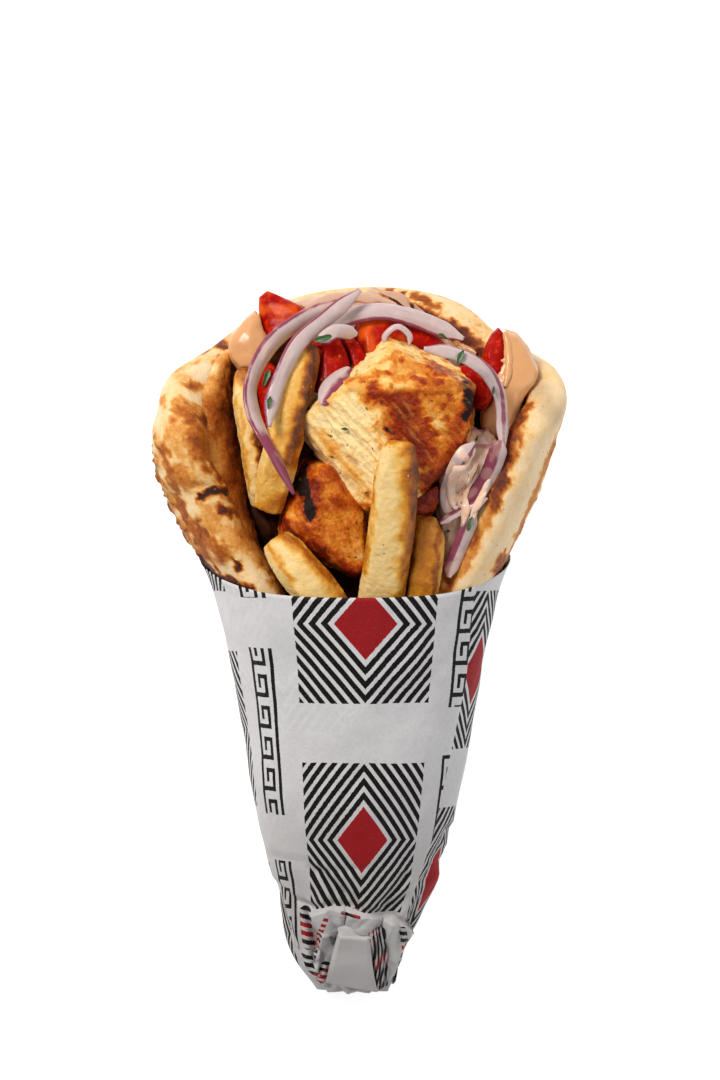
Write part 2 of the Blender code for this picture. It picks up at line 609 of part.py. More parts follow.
def lay_strip(name, route, width, thickness, turns, flakes, trees, material, seed):
    """An onion strip that follows its route and is lifted over whatever lies under it."""
    path = curve_through(route, STRIP_SAMPLES)
    reach = width / 2
    above = thickness / 2 + STRIP_CLEAR + STRIP_TILT * reach * math.sin(math.radians(max(turns)))
    lifted = []
    for point in path:
        heights = [point.z]
        for dx in (-reach, 0.0, reach):
            for dy in (-reach, 0.0, reach):
                under = highest_at(trees, point.x + dx, point.y + dy)
                if under is not None:
                    heights.append(under + above)
        lifted.append(max(heights))
    for _ in range(2):
        padded = [lifted[0]] + lifted + [lifted[-1]]
        smoothed = [(a + 2 * b + c) / 4 for a, b, c in zip(padded, padded[1:], padded[2:])]
        lifted = [max(a, b) for a, b in zip(lifted, smoothed)]
    laid = [Vector((point.x, point.y, z)) for point, z in zip(path, lifted)]
    strip = make_bar(
        name, laid, width, thickness, material, STRIP_STATIONS, STRIP_SIDES, STRIP_SQUARE, turns, STRIP_END
    )
    if flakes:
        add_flakes(strip, [laid[round(share * (STRIP_SAMPLES - 1))] for share in flakes], thickness, seed)
    return strip


def add_flakes(host, places, thickness, seed):
    """Fuses small leaves of parsley to the top of a strip."""
    leaves = bpy.data.collections.new("leaves")
    bpy.context.scene.collection.children.link(leaves)
    for k, place in enumerate(places):
        turn = (seed + k) * FLAKE_TURN
        leaf = make_flake(place, thickness / 2 + FLAKE_RISE, turn, host.data.materials[0])
        PARTS.objects.unlink(leaf)
        leaves.objects.link(leaf)
    boolean(host, leaves, "UNION")
    for leaf in list(leaves.objects):
        bpy.data.objects.remove(leaf)
    bpy.data.collections.remove(leaves)


def make_flake(middle, rise, turn, material):
    ahead = Vector((math.cos(turn), math.sin(turn), 0.0)) * FLAKE_SIZE[0]
    side = Vector((-math.sin(turn), math.cos(turn), 0.0)) * FLAKE_SIZE[1]
    points = []
    for z in (0.0, rise):
        for i in range(FLAKE_SIDES):
            angle = 2 * math.pi * i / FLAKE_SIDES
            points.append(middle + ahead * math.cos(angle) + side * math.sin(angle) + Vector((0.0, 0.0, z)))
    faces = rings_to_faces(2, FLAKE_SIDES)
    faces += [tuple(range(FLAKE_SIDES)), tuple(range(FLAKE_SIDES, 2 * FLAKE_SIDES))]
    return add_solid("leaf", points, faces, material)


def boolean(solid, other, operation):
    """Joins or cuts by an object or a collection at once, so that later pieces meet the finished mesh."""
    modifier = solid.modifiers.new("fit", "BOOLEAN")
    modifier.operation = operation
    if isinstance(other, bpy.types.Collection):
        modifier.operand_type = "COLLECTION"
        modifier.collection = other
    else:
        modifier.object = other
    graph = bpy.context.evaluated_depsgraph_get()
    mesh = bpy.data.meshes.new_from_object(solid.evaluated_get(graph))
    solid.modifiers.clear()
    solid.data = mesh
    work = bmesh.new()
    work.from_mesh(mesh)
    bmesh.ops.remove_doubles(work, verts=work.verts, dist=MERGE * METRES)
    bmesh.ops.dissolve_degenerate(work, edges=work.edges, dist=SHORTEST_EDGE * METRES)
    work.to_mesh(mesh)
    work.free()


def keep_largest(solid):
    """Drops loose scraps that a cut left."""
    work = bmesh.new()
    work.from_mesh(solid.data)
    left = set(work.verts)
    groups = []
    while left:
        group, edge = set(), {left.pop()}
        while edge:
            vertex = edge.pop()
            group.add(vertex)
            near = {other for link in vertex.link_edges for other in link.verts} - group
            edge |= near
        left -= group
        groups.append(group)
    groups.sort(key=len)
    for group in groups[:-1]:
        bmesh.ops.delete(work, geom=list(group), context="VERTS")
    work.to_mesh(solid.data)
    work.free()


def grown(solid):
    """A swollen copy among the cutters, to cut its neighbours with a gap."""
    mesh = solid.data.copy()
    work = bmesh.new()
    work.from_mesh(mesh)
    work.normal_update()
    steps = [vertex.normal * min(vertex.calc_shell_factor(), MOST_CORNER_GROWTH) for vertex in work.verts]
    for vertex, step in zip(work.verts, steps):
        vertex.co += step * GROWTH * METRES
    work.to_mesh(mesh)
    work.free()
    copy = bpy.data.objects.new("cutter_" + solid.name, mesh)
    copy.hide_render = True
    copy.display_type = "WIRE"
    CUTTERS.objects.link(copy)
    copy.parent = ORIGIN
    return copy


def corners_of(solid):
    places = [vertex.co for vertex in solid.data.vertices]
    low = Vector([min(place[k] for place in places) for k in range(3)])
    high = Vector([max(place[k] for place in places) for k in range(3)])
    return low, high


def boxes_meet(one, two):
    low_one, high_one = corners_of(one)
    low_two, high_two = corners_of(two)
    return all(low_one[k] < high_two[k] and low_two[k] < high_one[k] for k in range(3))


def fit(solids):
    """Cuts each solid by the swollen copies of all the earlier ones that it meets."""
    cutters = []
    for solid in solids:
        for cutter in cutters:
            if boxes_meet(solid, cutter):
                boolean(solid, cutter, "DIFFERENCE")
        keep_largest(solid)
        cutters.append(grown(solid))
    for cutter in cutters:
        bpy.data.objects.remove(cutter)


def pita_inside(y, angle, gap):
    """A point just inside the rolled bread."""
    reach_y = (PITA_TOP_Y - PITA_LOW_Y) / 2
    height = (y - (PITA_TOP_Y + PITA_LOW_Y) / 2) / reach_y
    across = angle / between(PITA_SWEEP, y)
    share = min(math.hypot(height, across), 0.999)
    return pita_middle(y, angle) - pita_out(y, angle) * (pita_half(y, angle, share) + gap)


def make_core(bread, trees, material):
    """The hidden filling: it fills the bread up to a heap, and stops short of every piece above it."""
    points = []
    for k in range(CORE_ALONG):
        y = CORE_LOW_Y + (CORE_TOP_Y - CORE_LOW_Y) * k / (CORE_ALONG - 1)
        heap = between(HEAP, y)
        corners = []
        for side in (-1, 1):
            for angle in range(*CORE_SIDE_ANGLES):
                corner = pita_inside(y, side * angle, CORE_GAP)
                under = lowest_under(bread, trees, corner.x, y)
                if corner.z < min(heap - HEAP_FALL, under - CORE_CLEAR):
                    break
            corners.append((side * angle, corner))
        (left_angle, left), (right_angle, right) = corners
        for i in range(CORE_BELOW):
            angle = left_angle + (right_angle - left_angle) * i / (CORE_BELOW - 1)
            points.append(pita_inside(y, angle, CORE_GAP))
        for i in range(1, CORE_ABOVE):
            share = i / CORE_ABOVE
            edge = right.lerp(left, share)
            bump = CORE_BUMP * noise.noise(Vector((edge.x, y, 0.0)) / CORE_BUMP_SIZE)
            heaped = heap - HEAP_FALL * (edge.x / HEAP_HALF_WIDTH) ** 2 + bump
            top = min(heaped, lowest_under(bread, trees, edge.x, y) - CORE_CLEAR)
            rise = math.sqrt(math.sin(math.pi * share))
            height = min(edge.z + (top - edge.z) * rise, top)
            points.append(Vector((edge.x, y, max(height, floor_at(y, edge.x) + CORE_CLEAR))))
    around = CORE_BELOW + CORE_ABOVE - 1
    faces = rings_to_faces(CORE_ALONG, around)
    faces.append(tuple(range(around)))
    faces.append(tuple((CORE_ALONG - 1) * around + i for i in range(around)))
    return add_solid("filling_core", points, faces, material)


def lowest_under(bread, trees, x, y):
    """The lowest underside near a point, so that the core's straight facets stay clear too."""
    lowest = FAR
    for dx in CORE_NEAR:
        for dy in CORE_NEAR:
            over_floor = floor_at(y + dy, x + dx) + CORE_GAP
            for found in (lowest_at(trees, x + dx, y + dy), lowest_at([bread], x + dx, y + dy, over_floor)):
                if found is not None:
                    lowest = min(lowest, found)
    return lowest


def floor_at(y, x):
    """The height of the bread's inner face below a place."""
    inside = [pita_inside(y, angle, CORE_GAP) for angle in range(*FLOOR_ANGLES)]
    return min(inside, key=lambda point: abs(point.x - x)).z


PARTS, CUTTERS, ORIGIN = start_scene()
MATERIALS = make_materials()


def main():
    pita = make_pita(MATERIALS["bread"])
    make_paper(MATERIALS["paper"])
    fries = [make_fry(*row) for row in FRIES]
    chicken = [
        make_lump(*row[:5], MATERIALS["chicken"], row[5], CHICKEN_SQUARE, *row[6:], seed, CHICKEN_SHARES)
        for seed, row in enumerate(CHICKEN, 5)
    ]
    tomatoes = [
        make_lump(*row, MATERIALS["tomato"], *TOMATO_LUMP, seed, TOMATO_SHARES)
        for seed, row in enumerate(TOMATOES, 20)
    ]
    sauces = [
        make_lump(*row, MATERIALS["sauce"], *SAUCE_LUMP, seed, SAUCE_SHARES)
        for seed, row in enumerate(SAUCES, 40)
    ]
    laid = [pita] + fries[:3] + chicken + fries[3:] + tomatoes + sauces
    fit(laid)
    trees = [tree_of(solid) for solid in laid]
    for k, (name, route, width, thickness, turns, flakes) in enumerate(ONIONS):
        strip = lay_strip(name, route, width, thickness, turns, flakes, trees, MATERIALS["onion"], k + 60)
        trees.append(tree_of(strip))
    make_core(trees[0], trees[1:], MATERIALS["filling"])
    for solid in PARTS.objects:
        if solid.type == "MESH":
            solid.data.shade_smooth()
            solid.data.set_sharp_from_angle(angle=math.radians(SHARP_ANGLE))


main()
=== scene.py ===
"""Looks of the souvlaki pita: toasted bread, grilled chicken, fries, tomato, red onion, sauce and paper wrap.

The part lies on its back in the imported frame, +Y towards the open mouth. Lengths are millimetres in the
layout's own coordinates, whose origin lies LAYOUT_SHIFT from the frame's, and angles are degrees. The lines
in the tables are x, y points seen from above. Calls to noise and layered give a size and then a seed.
"""

import math
from itertools import product

import bmesh
import bpy
import numpy as np
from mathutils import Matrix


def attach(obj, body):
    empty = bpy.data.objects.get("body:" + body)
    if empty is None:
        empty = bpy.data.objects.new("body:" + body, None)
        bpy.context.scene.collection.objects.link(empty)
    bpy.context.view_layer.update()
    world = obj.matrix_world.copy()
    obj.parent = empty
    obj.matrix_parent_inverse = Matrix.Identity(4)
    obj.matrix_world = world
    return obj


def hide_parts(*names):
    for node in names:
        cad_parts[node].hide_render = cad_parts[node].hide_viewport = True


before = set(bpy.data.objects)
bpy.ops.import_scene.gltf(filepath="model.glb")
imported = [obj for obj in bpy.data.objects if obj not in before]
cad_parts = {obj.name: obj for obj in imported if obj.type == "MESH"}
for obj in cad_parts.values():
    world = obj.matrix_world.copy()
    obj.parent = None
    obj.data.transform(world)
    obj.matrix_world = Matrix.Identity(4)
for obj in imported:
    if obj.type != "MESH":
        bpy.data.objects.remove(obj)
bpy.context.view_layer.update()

METRES = 0.001
LAYOUT_SHIFT = np.array((-0.2, 29.5, 0.0))

# --- Numbers --------------------------------------------------------------------------------------

HASH_PRIMES = (73856093, 19349663, 83492791)
NOISE_SCALE = 1.7
TRIANGLE_STRETCH = 1.1547


def unit(vectors):
    return vectors / np.maximum(np.linalg.norm(vectors, axis=1), 1e-9)[:, None]


RANDOM = np.random.default_rng(11)
GRADIENTS = unit(RANDOM.normal(size=(4096, 3)))


def smooth(value, low, high):
    """0 below low, 1 above high, and smooth between. High may be the lower one, to fall."""
    t = np.clip((value - low) / (high - low), 0.0, 1.0)
    return t * t * (3 - 2 * t)


def hashed(cells, seed):
    """A number from 0 to 4095 for each lattice cell."""
    mixed = np.full(len(cells), seed * 2654435 + 97, np.int64)
    for k in range(cells.shape[1]):
        mixed = (mixed ^ (cells[:, k] * HASH_PRIMES[k])) * 69069 + 12345
    return (mixed >> 7) & 4095


def noise(points, size, seed):
    """Gradient noise of about -1 to 1 with features of a size, which may differ along x, y and z."""
    places = points / np.asarray(size, float)
    cells = np.floor(places).astype(np.int64)
    part = places - cells
    fade = part**3 * (part * (part * 6 - 15) + 10)
    total = np.zeros(len(points))
    for corner in product((0, 1), repeat=3):
        offset = np.array(corner)
        gradient = GRADIENTS[hashed(cells + offset, seed)]
        weight = np.prod(np.where(offset, fade, 1 - fade), axis=1)
        total += weight * np.sum(gradient * (part - offset), axis=1)
    return total * NOISE_SCALE


def layered(points, size, seed, layers=3):
    """Noise with finer, weaker noise on it."""
    total = 0.0
    for k in range(layers):
        total = total + noise(points, np.asarray(size, float) / 2**k, seed + 17 * k) * 0.5**k
    return total


def facets(u, v, size, seed):
    """Heights of -1 to 1 on flat triangles with sharp creases, as crumpled paper has."""
    a = u / size + 0.37 * np.sin(v / size * 1.3 + seed)
    b = (v / size) * TRIANGLE_STRETCH + 0.31 * np.sin(u / size * 1.7 + 2 * seed)
    a = a - b / 2
    i, j = np.floor(a).astype(np.int64), np.floor(b).astype(np.int64)
    s, t = a - i, b - j

    def height(di, dj):
        return hashed(np.stack([i + di, j + dj], axis=1), seed) / 2048.0 - 1.0

    low = height(0, 0) * (1 - s - t) + height(1, 0) * s + height(0, 1) * t
    high = height(1, 1) * (s + t - 1) + height(0, 1) * (1 - s) + height(1, 0) * (1 - t)
    return np.where(s + t > 1, high, low)


def between(table, at):
    """What a table of (place, value, ...) rows gives at places, on smooth curves through them."""
    rows = np.asarray(table, float)
    at = np.clip(at, rows[0, 0], rows[-1, 0])
    index = np.clip(np.searchsorted(rows[:, 0], at, side="right") - 1, 0, len(rows) - 2)
    before, low = rows[np.maximum(index - 1, 0)], rows[index]
    high, after = rows[index + 1], rows[np.minimum(index + 2, len(rows) - 1)]
    span = (high - low)[:, :1]
    t = (at[:, None] - low[:, :1]) / span
    slope_low = (high - before) / (high - before)[:, :1] * span
    slope_high = (after - low) / (after - low)[:, :1] * span
    values = (
        (2 * t**3 - 3 * t**2 + 1) * low + (t**3 - 2 * t**2 + t) * slope_low
        + (3 * t**2 - 2 * t**3) * high + (t**3 - t**2) * slope_high
    )
    return values[:, 1:]


def spline(points, count):
    """Count points at equal steps on a smooth curve through the given ones, and its length."""
    points = np.asarray(points, float)
    padded = np.concatenate([points[:1], points, points[-1:]])
    t = np.linspace(0, 1, 24, endpoint=False)[:, None]
    fine = []
    for i in range(len(points) - 1):
        a, b, c, d = padded[i : i + 4]
        bent = (2 * a - 5 * b + 4 * c - d) * t**2
        fine.append(b + 0.5 * ((c - a) * t + bent + (3 * b - a - 3 * c + d) * t**3))
    fine = np.concatenate([*fine, points[-1:]])
    reached = np.concatenate([[0.0], np.cumsum(np.linalg.norm(np.diff(fine, axis=0), axis=1))])
    wanted = np.linspace(0.0, reached[-1], count)
    return np.stack([np.interp(wanted, reached, column) for column in fine.T], axis=1), reached[-1]


def distance_from(points, line):
    """How far points lie from a line, seen from above."""
    best = np.full(len(points), 1e9)
    for start, end in zip(line, line[1:]):
        start, step = np.array(start), np.subtract(end, start)
        share = np.clip(((points[:, :2] - start) @ step) / (step @ step), 0.0, 1.0)
        best = np.minimum(best, np.linalg.norm(points[:, :2] - start - share[:, None] * step, axis=1))
    return best


def near_line(points, line, width):
    """1 on a line seen from above, falling to 0 at a distance of width."""
    return smooth(distance_from(points, line), width, 0.0)


def above_line(points, line):
    """How far points lie above (+) a line that runs to the right, seen from above."""
    x, y = zip(*line)
    return points[:, 1] - np.interp(points[:, 0], x, y)


def right_of_line(points, line):
    """How far points lie to the right (+) of a line that runs down, seen from above."""
    x, y = zip(*line[::-1])
    return points[:, 0] - np.interp(points[:, 1], y, x)


def out_of(surface, one, two, step_one, step_two):
    """Directions out of a surface at two coordinates on it."""
    along = surface(one + step_one, two) - surface(one - step_one, two)
    across = surface(one, two + step_two) - surface(one, two - step_two)
    return unit(np.cross(along, across))


def turned(points, degrees):
    """Points with x along a direction seen from above."""
    turn = math.radians(degrees)
    x = points[:, 0] * math.cos(turn) + points[:, 1] * math.sin(turn)
    y = points[:, 1] * math.cos(turn) - points[:, 0] * math.sin(turn)
    return np.stack([x, y, points[:, 2]], axis=1)


# --- Meshes ---------------------------------------------------------------------------------------

TOPS = []  # points of what is made so far, for what lies on it
TOPS_FROM_Z = 20.0
WELD_DISTANCE = 0.02
SHEET_THICK = 0.12


def remember(points):
    TOPS.append(points[points[:, 2] > TOPS_FROM_Z])


def add_object(name, data):
    made = bpy.data.objects.new(name, data)
    bpy.context.scene.collection.objects.link(made)
    return made


def mesh_object(name, points, faces, material, marks=None, shift=LAYOUT_SHIFT):
    """A new object from millimetre points, with one float attribute for each mark."""
    mesh = bpy.data.meshes.new(name)
    mesh.from_pydata(((points + shift) * METRES).tolist(), [], faces)
    return finish_mesh(name, mesh, material, marks)


def finish_mesh(name, mesh, material, marks=None):
    for mark, values in (marks or {}).items():
        mesh.attributes.new(mark, "FLOAT", "POINT").data.foreach_set("value", np.asarray(values, np.float32))
    mesh.materials.clear()
    mesh.materials.append(material)
    mesh.shade_smooth()
    return add_object(name, mesh)


def layout_points(mesh):
    """A mesh's points in layout millimetres."""
    flat = np.empty(len(mesh.vertices) * 3)
    mesh.vertices.foreach_get("co", flat)
    return flat.reshape(-1, 3) / METRES - LAYOUT_SHIFT


def normals_of(mesh):
    flat = np.empty(len(mesh.vertices) * 3, np.float32)
    mesh.vertices.foreach_get("normal", flat)
    return flat.reshape(-1, 3).astype(float)


def move_points(mesh, points):
    mesh.vertices.foreach_set("co", ((points + LAYOUT_SHIFT) * METRES).astype(np.float32).ravel())
    mesh.update()


def grid_faces(rows, columns, closed=True):
    """Quads between rows of points, closed round each row or not."""
    i, j = np.meshgrid(np.arange(rows - 1), np.arange(columns if closed else columns - 1), indexing="ij")
    k = (j + 1) % columns
    corners = [i * columns + j, i * columns + k, (i + 1) * columns + k, (i + 1) * columns + j]
    return np.stack(corners, axis=-1).reshape(-1, 4)


def fine_copy(node, voxel, rounds):
    """A node's mesh with even fine faces, its edges and facets eased, and its points."""
    copy = add_object("fine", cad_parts[node].data.copy())
    remesh = copy.modifiers.new("remesh", "REMESH")
    remesh.mode = "VOXEL"
    remesh.voxel_size = voxel * METRES
    ease = copy.modifiers.new("ease", "SMOOTH")
    ease.iterations = rounds
    ease.factor = 0.5
    graph = bpy.context.evaluated_depsgraph_get()
    mesh = bpy.data.meshes.new_from_object(copy.evaluated_get(graph))
    bpy.data.objects.remove(copy)
    return mesh, layout_points(mesh)


def weld(mesh):
    """Joins points that meet, such as those of the two sides of an edge."""
    work = bmesh.new()
    work.from_mesh(mesh)
    bmesh.ops.remove_doubles(work, verts=work.verts, dist=WELD_DISTANCE * METRES)
    bmesh.ops.recalc_face_normals(work, faces=work.faces)
    work.to_mesh(mesh)
    work.free()
    mesh.shade_smooth()


def thicken(piece, offset):
    """Gives a thin sheet its thickness."""
    thick = piece.modifiers.new("thick", "SOLIDIFY")
    thick.thickness = SHEET_THICK * METRES
    thick.offset = offset


def stand_for(piece, slot, *nodes):
    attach(piece, "root")
    if nodes:
        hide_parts(*nodes)


# --- Materials ------------------------------------------------------------------------------------


def worked_out(operation):
    """A node that works out two values, or a value and a number."""
    return lambda one, two: one.look.math(operation, one, two)


class Value:
    """An output of one of a look's nodes, which takes part in sums."""

    __add__, __sub__, __mul__, __truediv__ = map(worked_out, ("ADD", "SUBTRACT", "MULTIPLY", "DIVIDE"))
    __mod__, __lt__, __gt__ = map(worked_out, ("MODULO", "LESS_THAN", "GREATER_THAN"))

    def __init__(self, look, socket):
        self.look, self.socket = look, socket

    def __rsub__(self, other):
        return self.look.math("SUBTRACT", other, self)

    def __abs__(self):
        return self.look.math("ABSOLUTE", self)


class Look:
    """A Principled material whose nodes are built by short calls."""

    def __init__(self, name, roughness=0.5, subsurface=0.0, radius=(1.0, 0.4, 0.2), scale=1.5, coat=0.0,
                 coat_roughness=0.1, specular=0.5):
        self.material = bpy.data.materials.new(name)
        self.material.use_nodes = True
        self.tree = self.material.node_tree
        self.shader = self.tree.nodes["Principled BSDF"]
        self.feed(self.shader, {
            "Roughness": roughness, "Specular IOR Level": specular, "Subsurface Weight": subsurface,
            "Subsurface Radius": radius, "Subsurface Scale": scale * METRES, "Coat Weight": coat,
            "Coat Roughness": coat_roughness,
        })
        self.coordinates = self.value("ShaderNodeTexCoord", {}, "Object")

    def feed(self, node, inputs):
        """Feeds inputs of a node from values, numbers or colours."""
        for key, value in inputs.items():
            socket = node.inputs[key]
            if isinstance(value, Value):
                self.tree.links.new(value.socket, socket)
            elif socket.type == "RGBA":
                socket.default_value = (*value, 1.0)
            else:
                socket.default_value = value

    def node(self, kind, inputs, **settings):
        made = self.tree.nodes.new(kind)
        for key, setting in settings.items():
            setattr(made, key, setting)
        self.feed(made, inputs)
        return made

    def value(self, kind, inputs, output=0, **settings):
        return Value(self, self.node(kind, inputs, **settings).outputs[output])

    def mark(self, name):
        return self.value("ShaderNodeAttribute", {}, "Fac", attribute_name=name)

    def math(self, operation, *values):
        return self.value("ShaderNodeMath", dict(enumerate(values)), operation=operation)

    def step(self, value, low, high):
        """A smooth change from 0 to 1 as value goes from low to high."""
        return self.value("ShaderNodeMapRange", {0: value, 1: low, 2: high}, interpolation_type="SMOOTHSTEP")

    def noise(self, size, detail=3.0, roughness=0.55):
        """Noise of 0 to 1 with features of a size in millimetres."""
        inputs = {"Vector": self.coordinates, "Scale": 1.0 / (size * METRES)}
        return self.value("ShaderNodeTexNoise", inputs | {"Detail": detail, "Roughness": roughness}, "Fac")

    def speckled(self, colour, speck, strength, size, share, spread, ragged=0.5):
        """A colour with small uneven specks: a share of the cells of a size has one."""
        jitter = {"Vector": self.coordinates, "Scale": 2.2 / (size * METRES)}
        moved = {
            0: self.value("ShaderNodeTexNoise", jitter, "Color"), 1: (ragged * size * METRES,) * 3,
            2: self.coordinates,
        }
        cells = {
            "Vector": self.value("ShaderNodeVectorMath", moved, operation="MULTIPLY_ADD"),
            "Scale": 1.0 / (size * METRES),
        }
        cell = self.node("ShaderNodeTexVoronoi", cells, feature="F1").outputs
        near = self.step(Value(self, cell["Distance"]), spread, spread * 0.6)
        chosen = self.value("ShaderNodeSeparateColor", {0: Value(self, cell["Color"])}) < share
        return self.mix(near * chosen * strength, colour, speck)

    def ramp(self, value, *stops):
        """Colours of (place, colour) stops, at a value."""
        made = self.node("ShaderNodeValToRGB", {0: value})
        for _ in stops[2:]:
            made.color_ramp.elements.new(0.5)
        for element, (place, colour) in zip(made.color_ramp.elements, stops):
            element.position = place
            element.color = (*colour, 1.0)
        return Value(self, made.outputs[0])

    def mix(self, share, one, two):
        """A colour between two others."""
        return self.value("ShaderNodeMix", {"Factor": share, "A": one, "B": two}, "Result", data_type="RGBA")

    def mixed(self, share, one, two):
        """A number between two others."""
        return self.value("ShaderNodeMix", {0: share, 2: one, 3: two}, data_type="FLOAT")

    def finish(self, colour, *bumps):
        """The material with its colour and its bumps of (height, depth in millimetres)."""
        self.feed(self.shader, {"Base Color": colour})
        under = {}
        for height, depth in bumps:
            bump = {"Distance": depth * METRES, "Height": height}
            under = {"Normal": self.value("ShaderNodeBump", bump | under)}
        self.feed(self.shader, under)
        return self.material


# --- Camera, floor and light ----------------------------------------------------------------------

CAMERA_HEIGHT = 760.0
CAMERA_LENS = 85.0
CAMERA_SENSOR = 36.0
CAMERA_NEAR = 10.0
WORLD_LIGHT = 0.36
FLOOR_HALF = 4000.0
FLOOR_GLOW = 0.8
FLOOR_SHADE = 0.42
FLOOR_ROUGHNESS = 0.9
WHITE = (1.0, 1.0, 1.0)
LIGHTS = (  # (name, place in metres, power, size in metres, colour)
    ("key", (-0.55, 0.62, 0.85), 12.0, 0.35, (1.0, 0.98, 0.95)),
    ("fill", (0.9, 0.2, 0.8), 4.2, 0.8, (0.95, 0.97, 1.0)),
)


def make_camera():
    data = bpy.data.cameras.new("camera")
    data.lens = CAMERA_LENS
    data.sensor_fit = "VERTICAL"
    data.sensor_height = CAMERA_SENSOR
    data.clip_start = CAMERA_NEAR * METRES
    camera = add_object("camera", data)
    camera.location = (0.0, LAYOUT_SHIFT[1] * METRES, CAMERA_HEIGHT * METRES)
    bpy.context.scene.camera = camera


def make_studio():
    floor = Look("floor", roughness=FLOOR_ROUGHNESS)
    floor.feed(floor.shader, {"Emission Color": WHITE, "Emission Strength": FLOOR_GLOW})
    corners = np.array([(-1, -1, 0), (1, -1, 0), (1, 1, 0), (-1, 1, 0)]) * FLOOR_HALF
    mesh_object("floor", corners, [(0, 1, 2, 3)], floor.finish((FLOOR_SHADE,) * 3), shift=0.0)
    world = bpy.data.worlds.new("studio")
    world.use_nodes = True
    world.node_tree.nodes["Background"].inputs["Color"].default_value = (*WHITE, 1.0)
    world.node_tree.nodes["Background"].inputs["Strength"].default_value = WORLD_LIGHT
    bpy.context.scene.world = world
    for name, place, power, size, colour in LIGHTS:
        data = bpy.data.lights.new(name, "AREA")
        data.energy = power
        data.size = size
        data.color = colour
        light = add_object(name, data)
        light.location = place
        light.rotation_euler = (-light.location).to_track_quat("-Z", "Y").to_euler()
    bpy.context.scene.view_settings.view_transform = "Standard"


# --- Pita -----------------------------------------------------------------------------------------

PITA_TOP_Y = 74.0
PITA_LOW_Y = -96.0
PITA_MIDDLE_Y = (PITA_TOP_Y + PITA_LOW_Y) / 2
PITA_REACH_Y = (PITA_TOP_Y - PITA_LOW_Y) / 2
PITA_ROLL = (  # (y, half width, half height) of the roll, in the middle of the bread's thickness
    (-96, 17, 9.5), (-75, 21.8, 13.9), (-45, 26.2, 19), (-16, 32.2, 24), (-3, 39.4, 27), (8, 45.4, 29),
    (22, 50.3, 31), (37, 51.8, 33), (48, 49.6, 33), (58, 49.4, 33), (74, 53, 33),
)
PITA_SIDEWAYS = (  # (y, x) of its middle
    (-96, -0.8), (-16, -0.6), (8, -2.2), (29, -1.2), (37, 1), (48, 2.2), (60, 1.2), (74, 4),
)
PITA_SWEEP = (  # (y, angle) that the bread reaches to on each side
    (-96, 168), (-50, 165), (-30, 151), (-15, 138), (0, 131), (20, 134), (30, 138), (38, 131), (48, 118),
    (58, 92), (74, 90),
)
PITA_INNER_HALF = 4.6
PITA_RIM_HALF = 5.8
PITA_LEFT_EXTRA = 0.9
PITA_LEFT_ANGLES = (20.0, 90.0)
PITA_BARE_Y = (-12.0, 6.0)
PITA_RIM_WIDTH = (8.0, 26.0)
PITA_REACH = 90.0
PITA_CLEAR = 1.9  # height of the bread above the table
LIP_LIFT = 8.0
LIP_LIFT_FROM_Y = 6.0
PITA_FOLDS = (  # (y, width, depth) of the folds in the left edge
    (34, 3, 1.6), (13, 3.2, 2.6), (6, 3, 1.8), (-6, 3.4, 1.4),
)
PITA_FOLD_ANGLES = (70.0, 100.0)
PITA_FOLD_SHARES = (0.78, 0.92)
PITA_AROUND = 620
PITA_RINGS = np.concatenate([
    np.linspace(0.02, 0.58, 12), np.linspace(0.6, 0.93, 46), np.linspace(0.937, 1.0, 16),
])
PITA_EASE = 24
BLISTERED_LEFT = -96.0
BLISTERED_RIGHT = 94.0
RAGGED = 0.9  # how far the edges of marks wander
SHOWN_LEFT_X = (10.0, 25.0)  # how far left of the middle the toasted left side starts
MOUTH_Y = (30.0, 42.0)
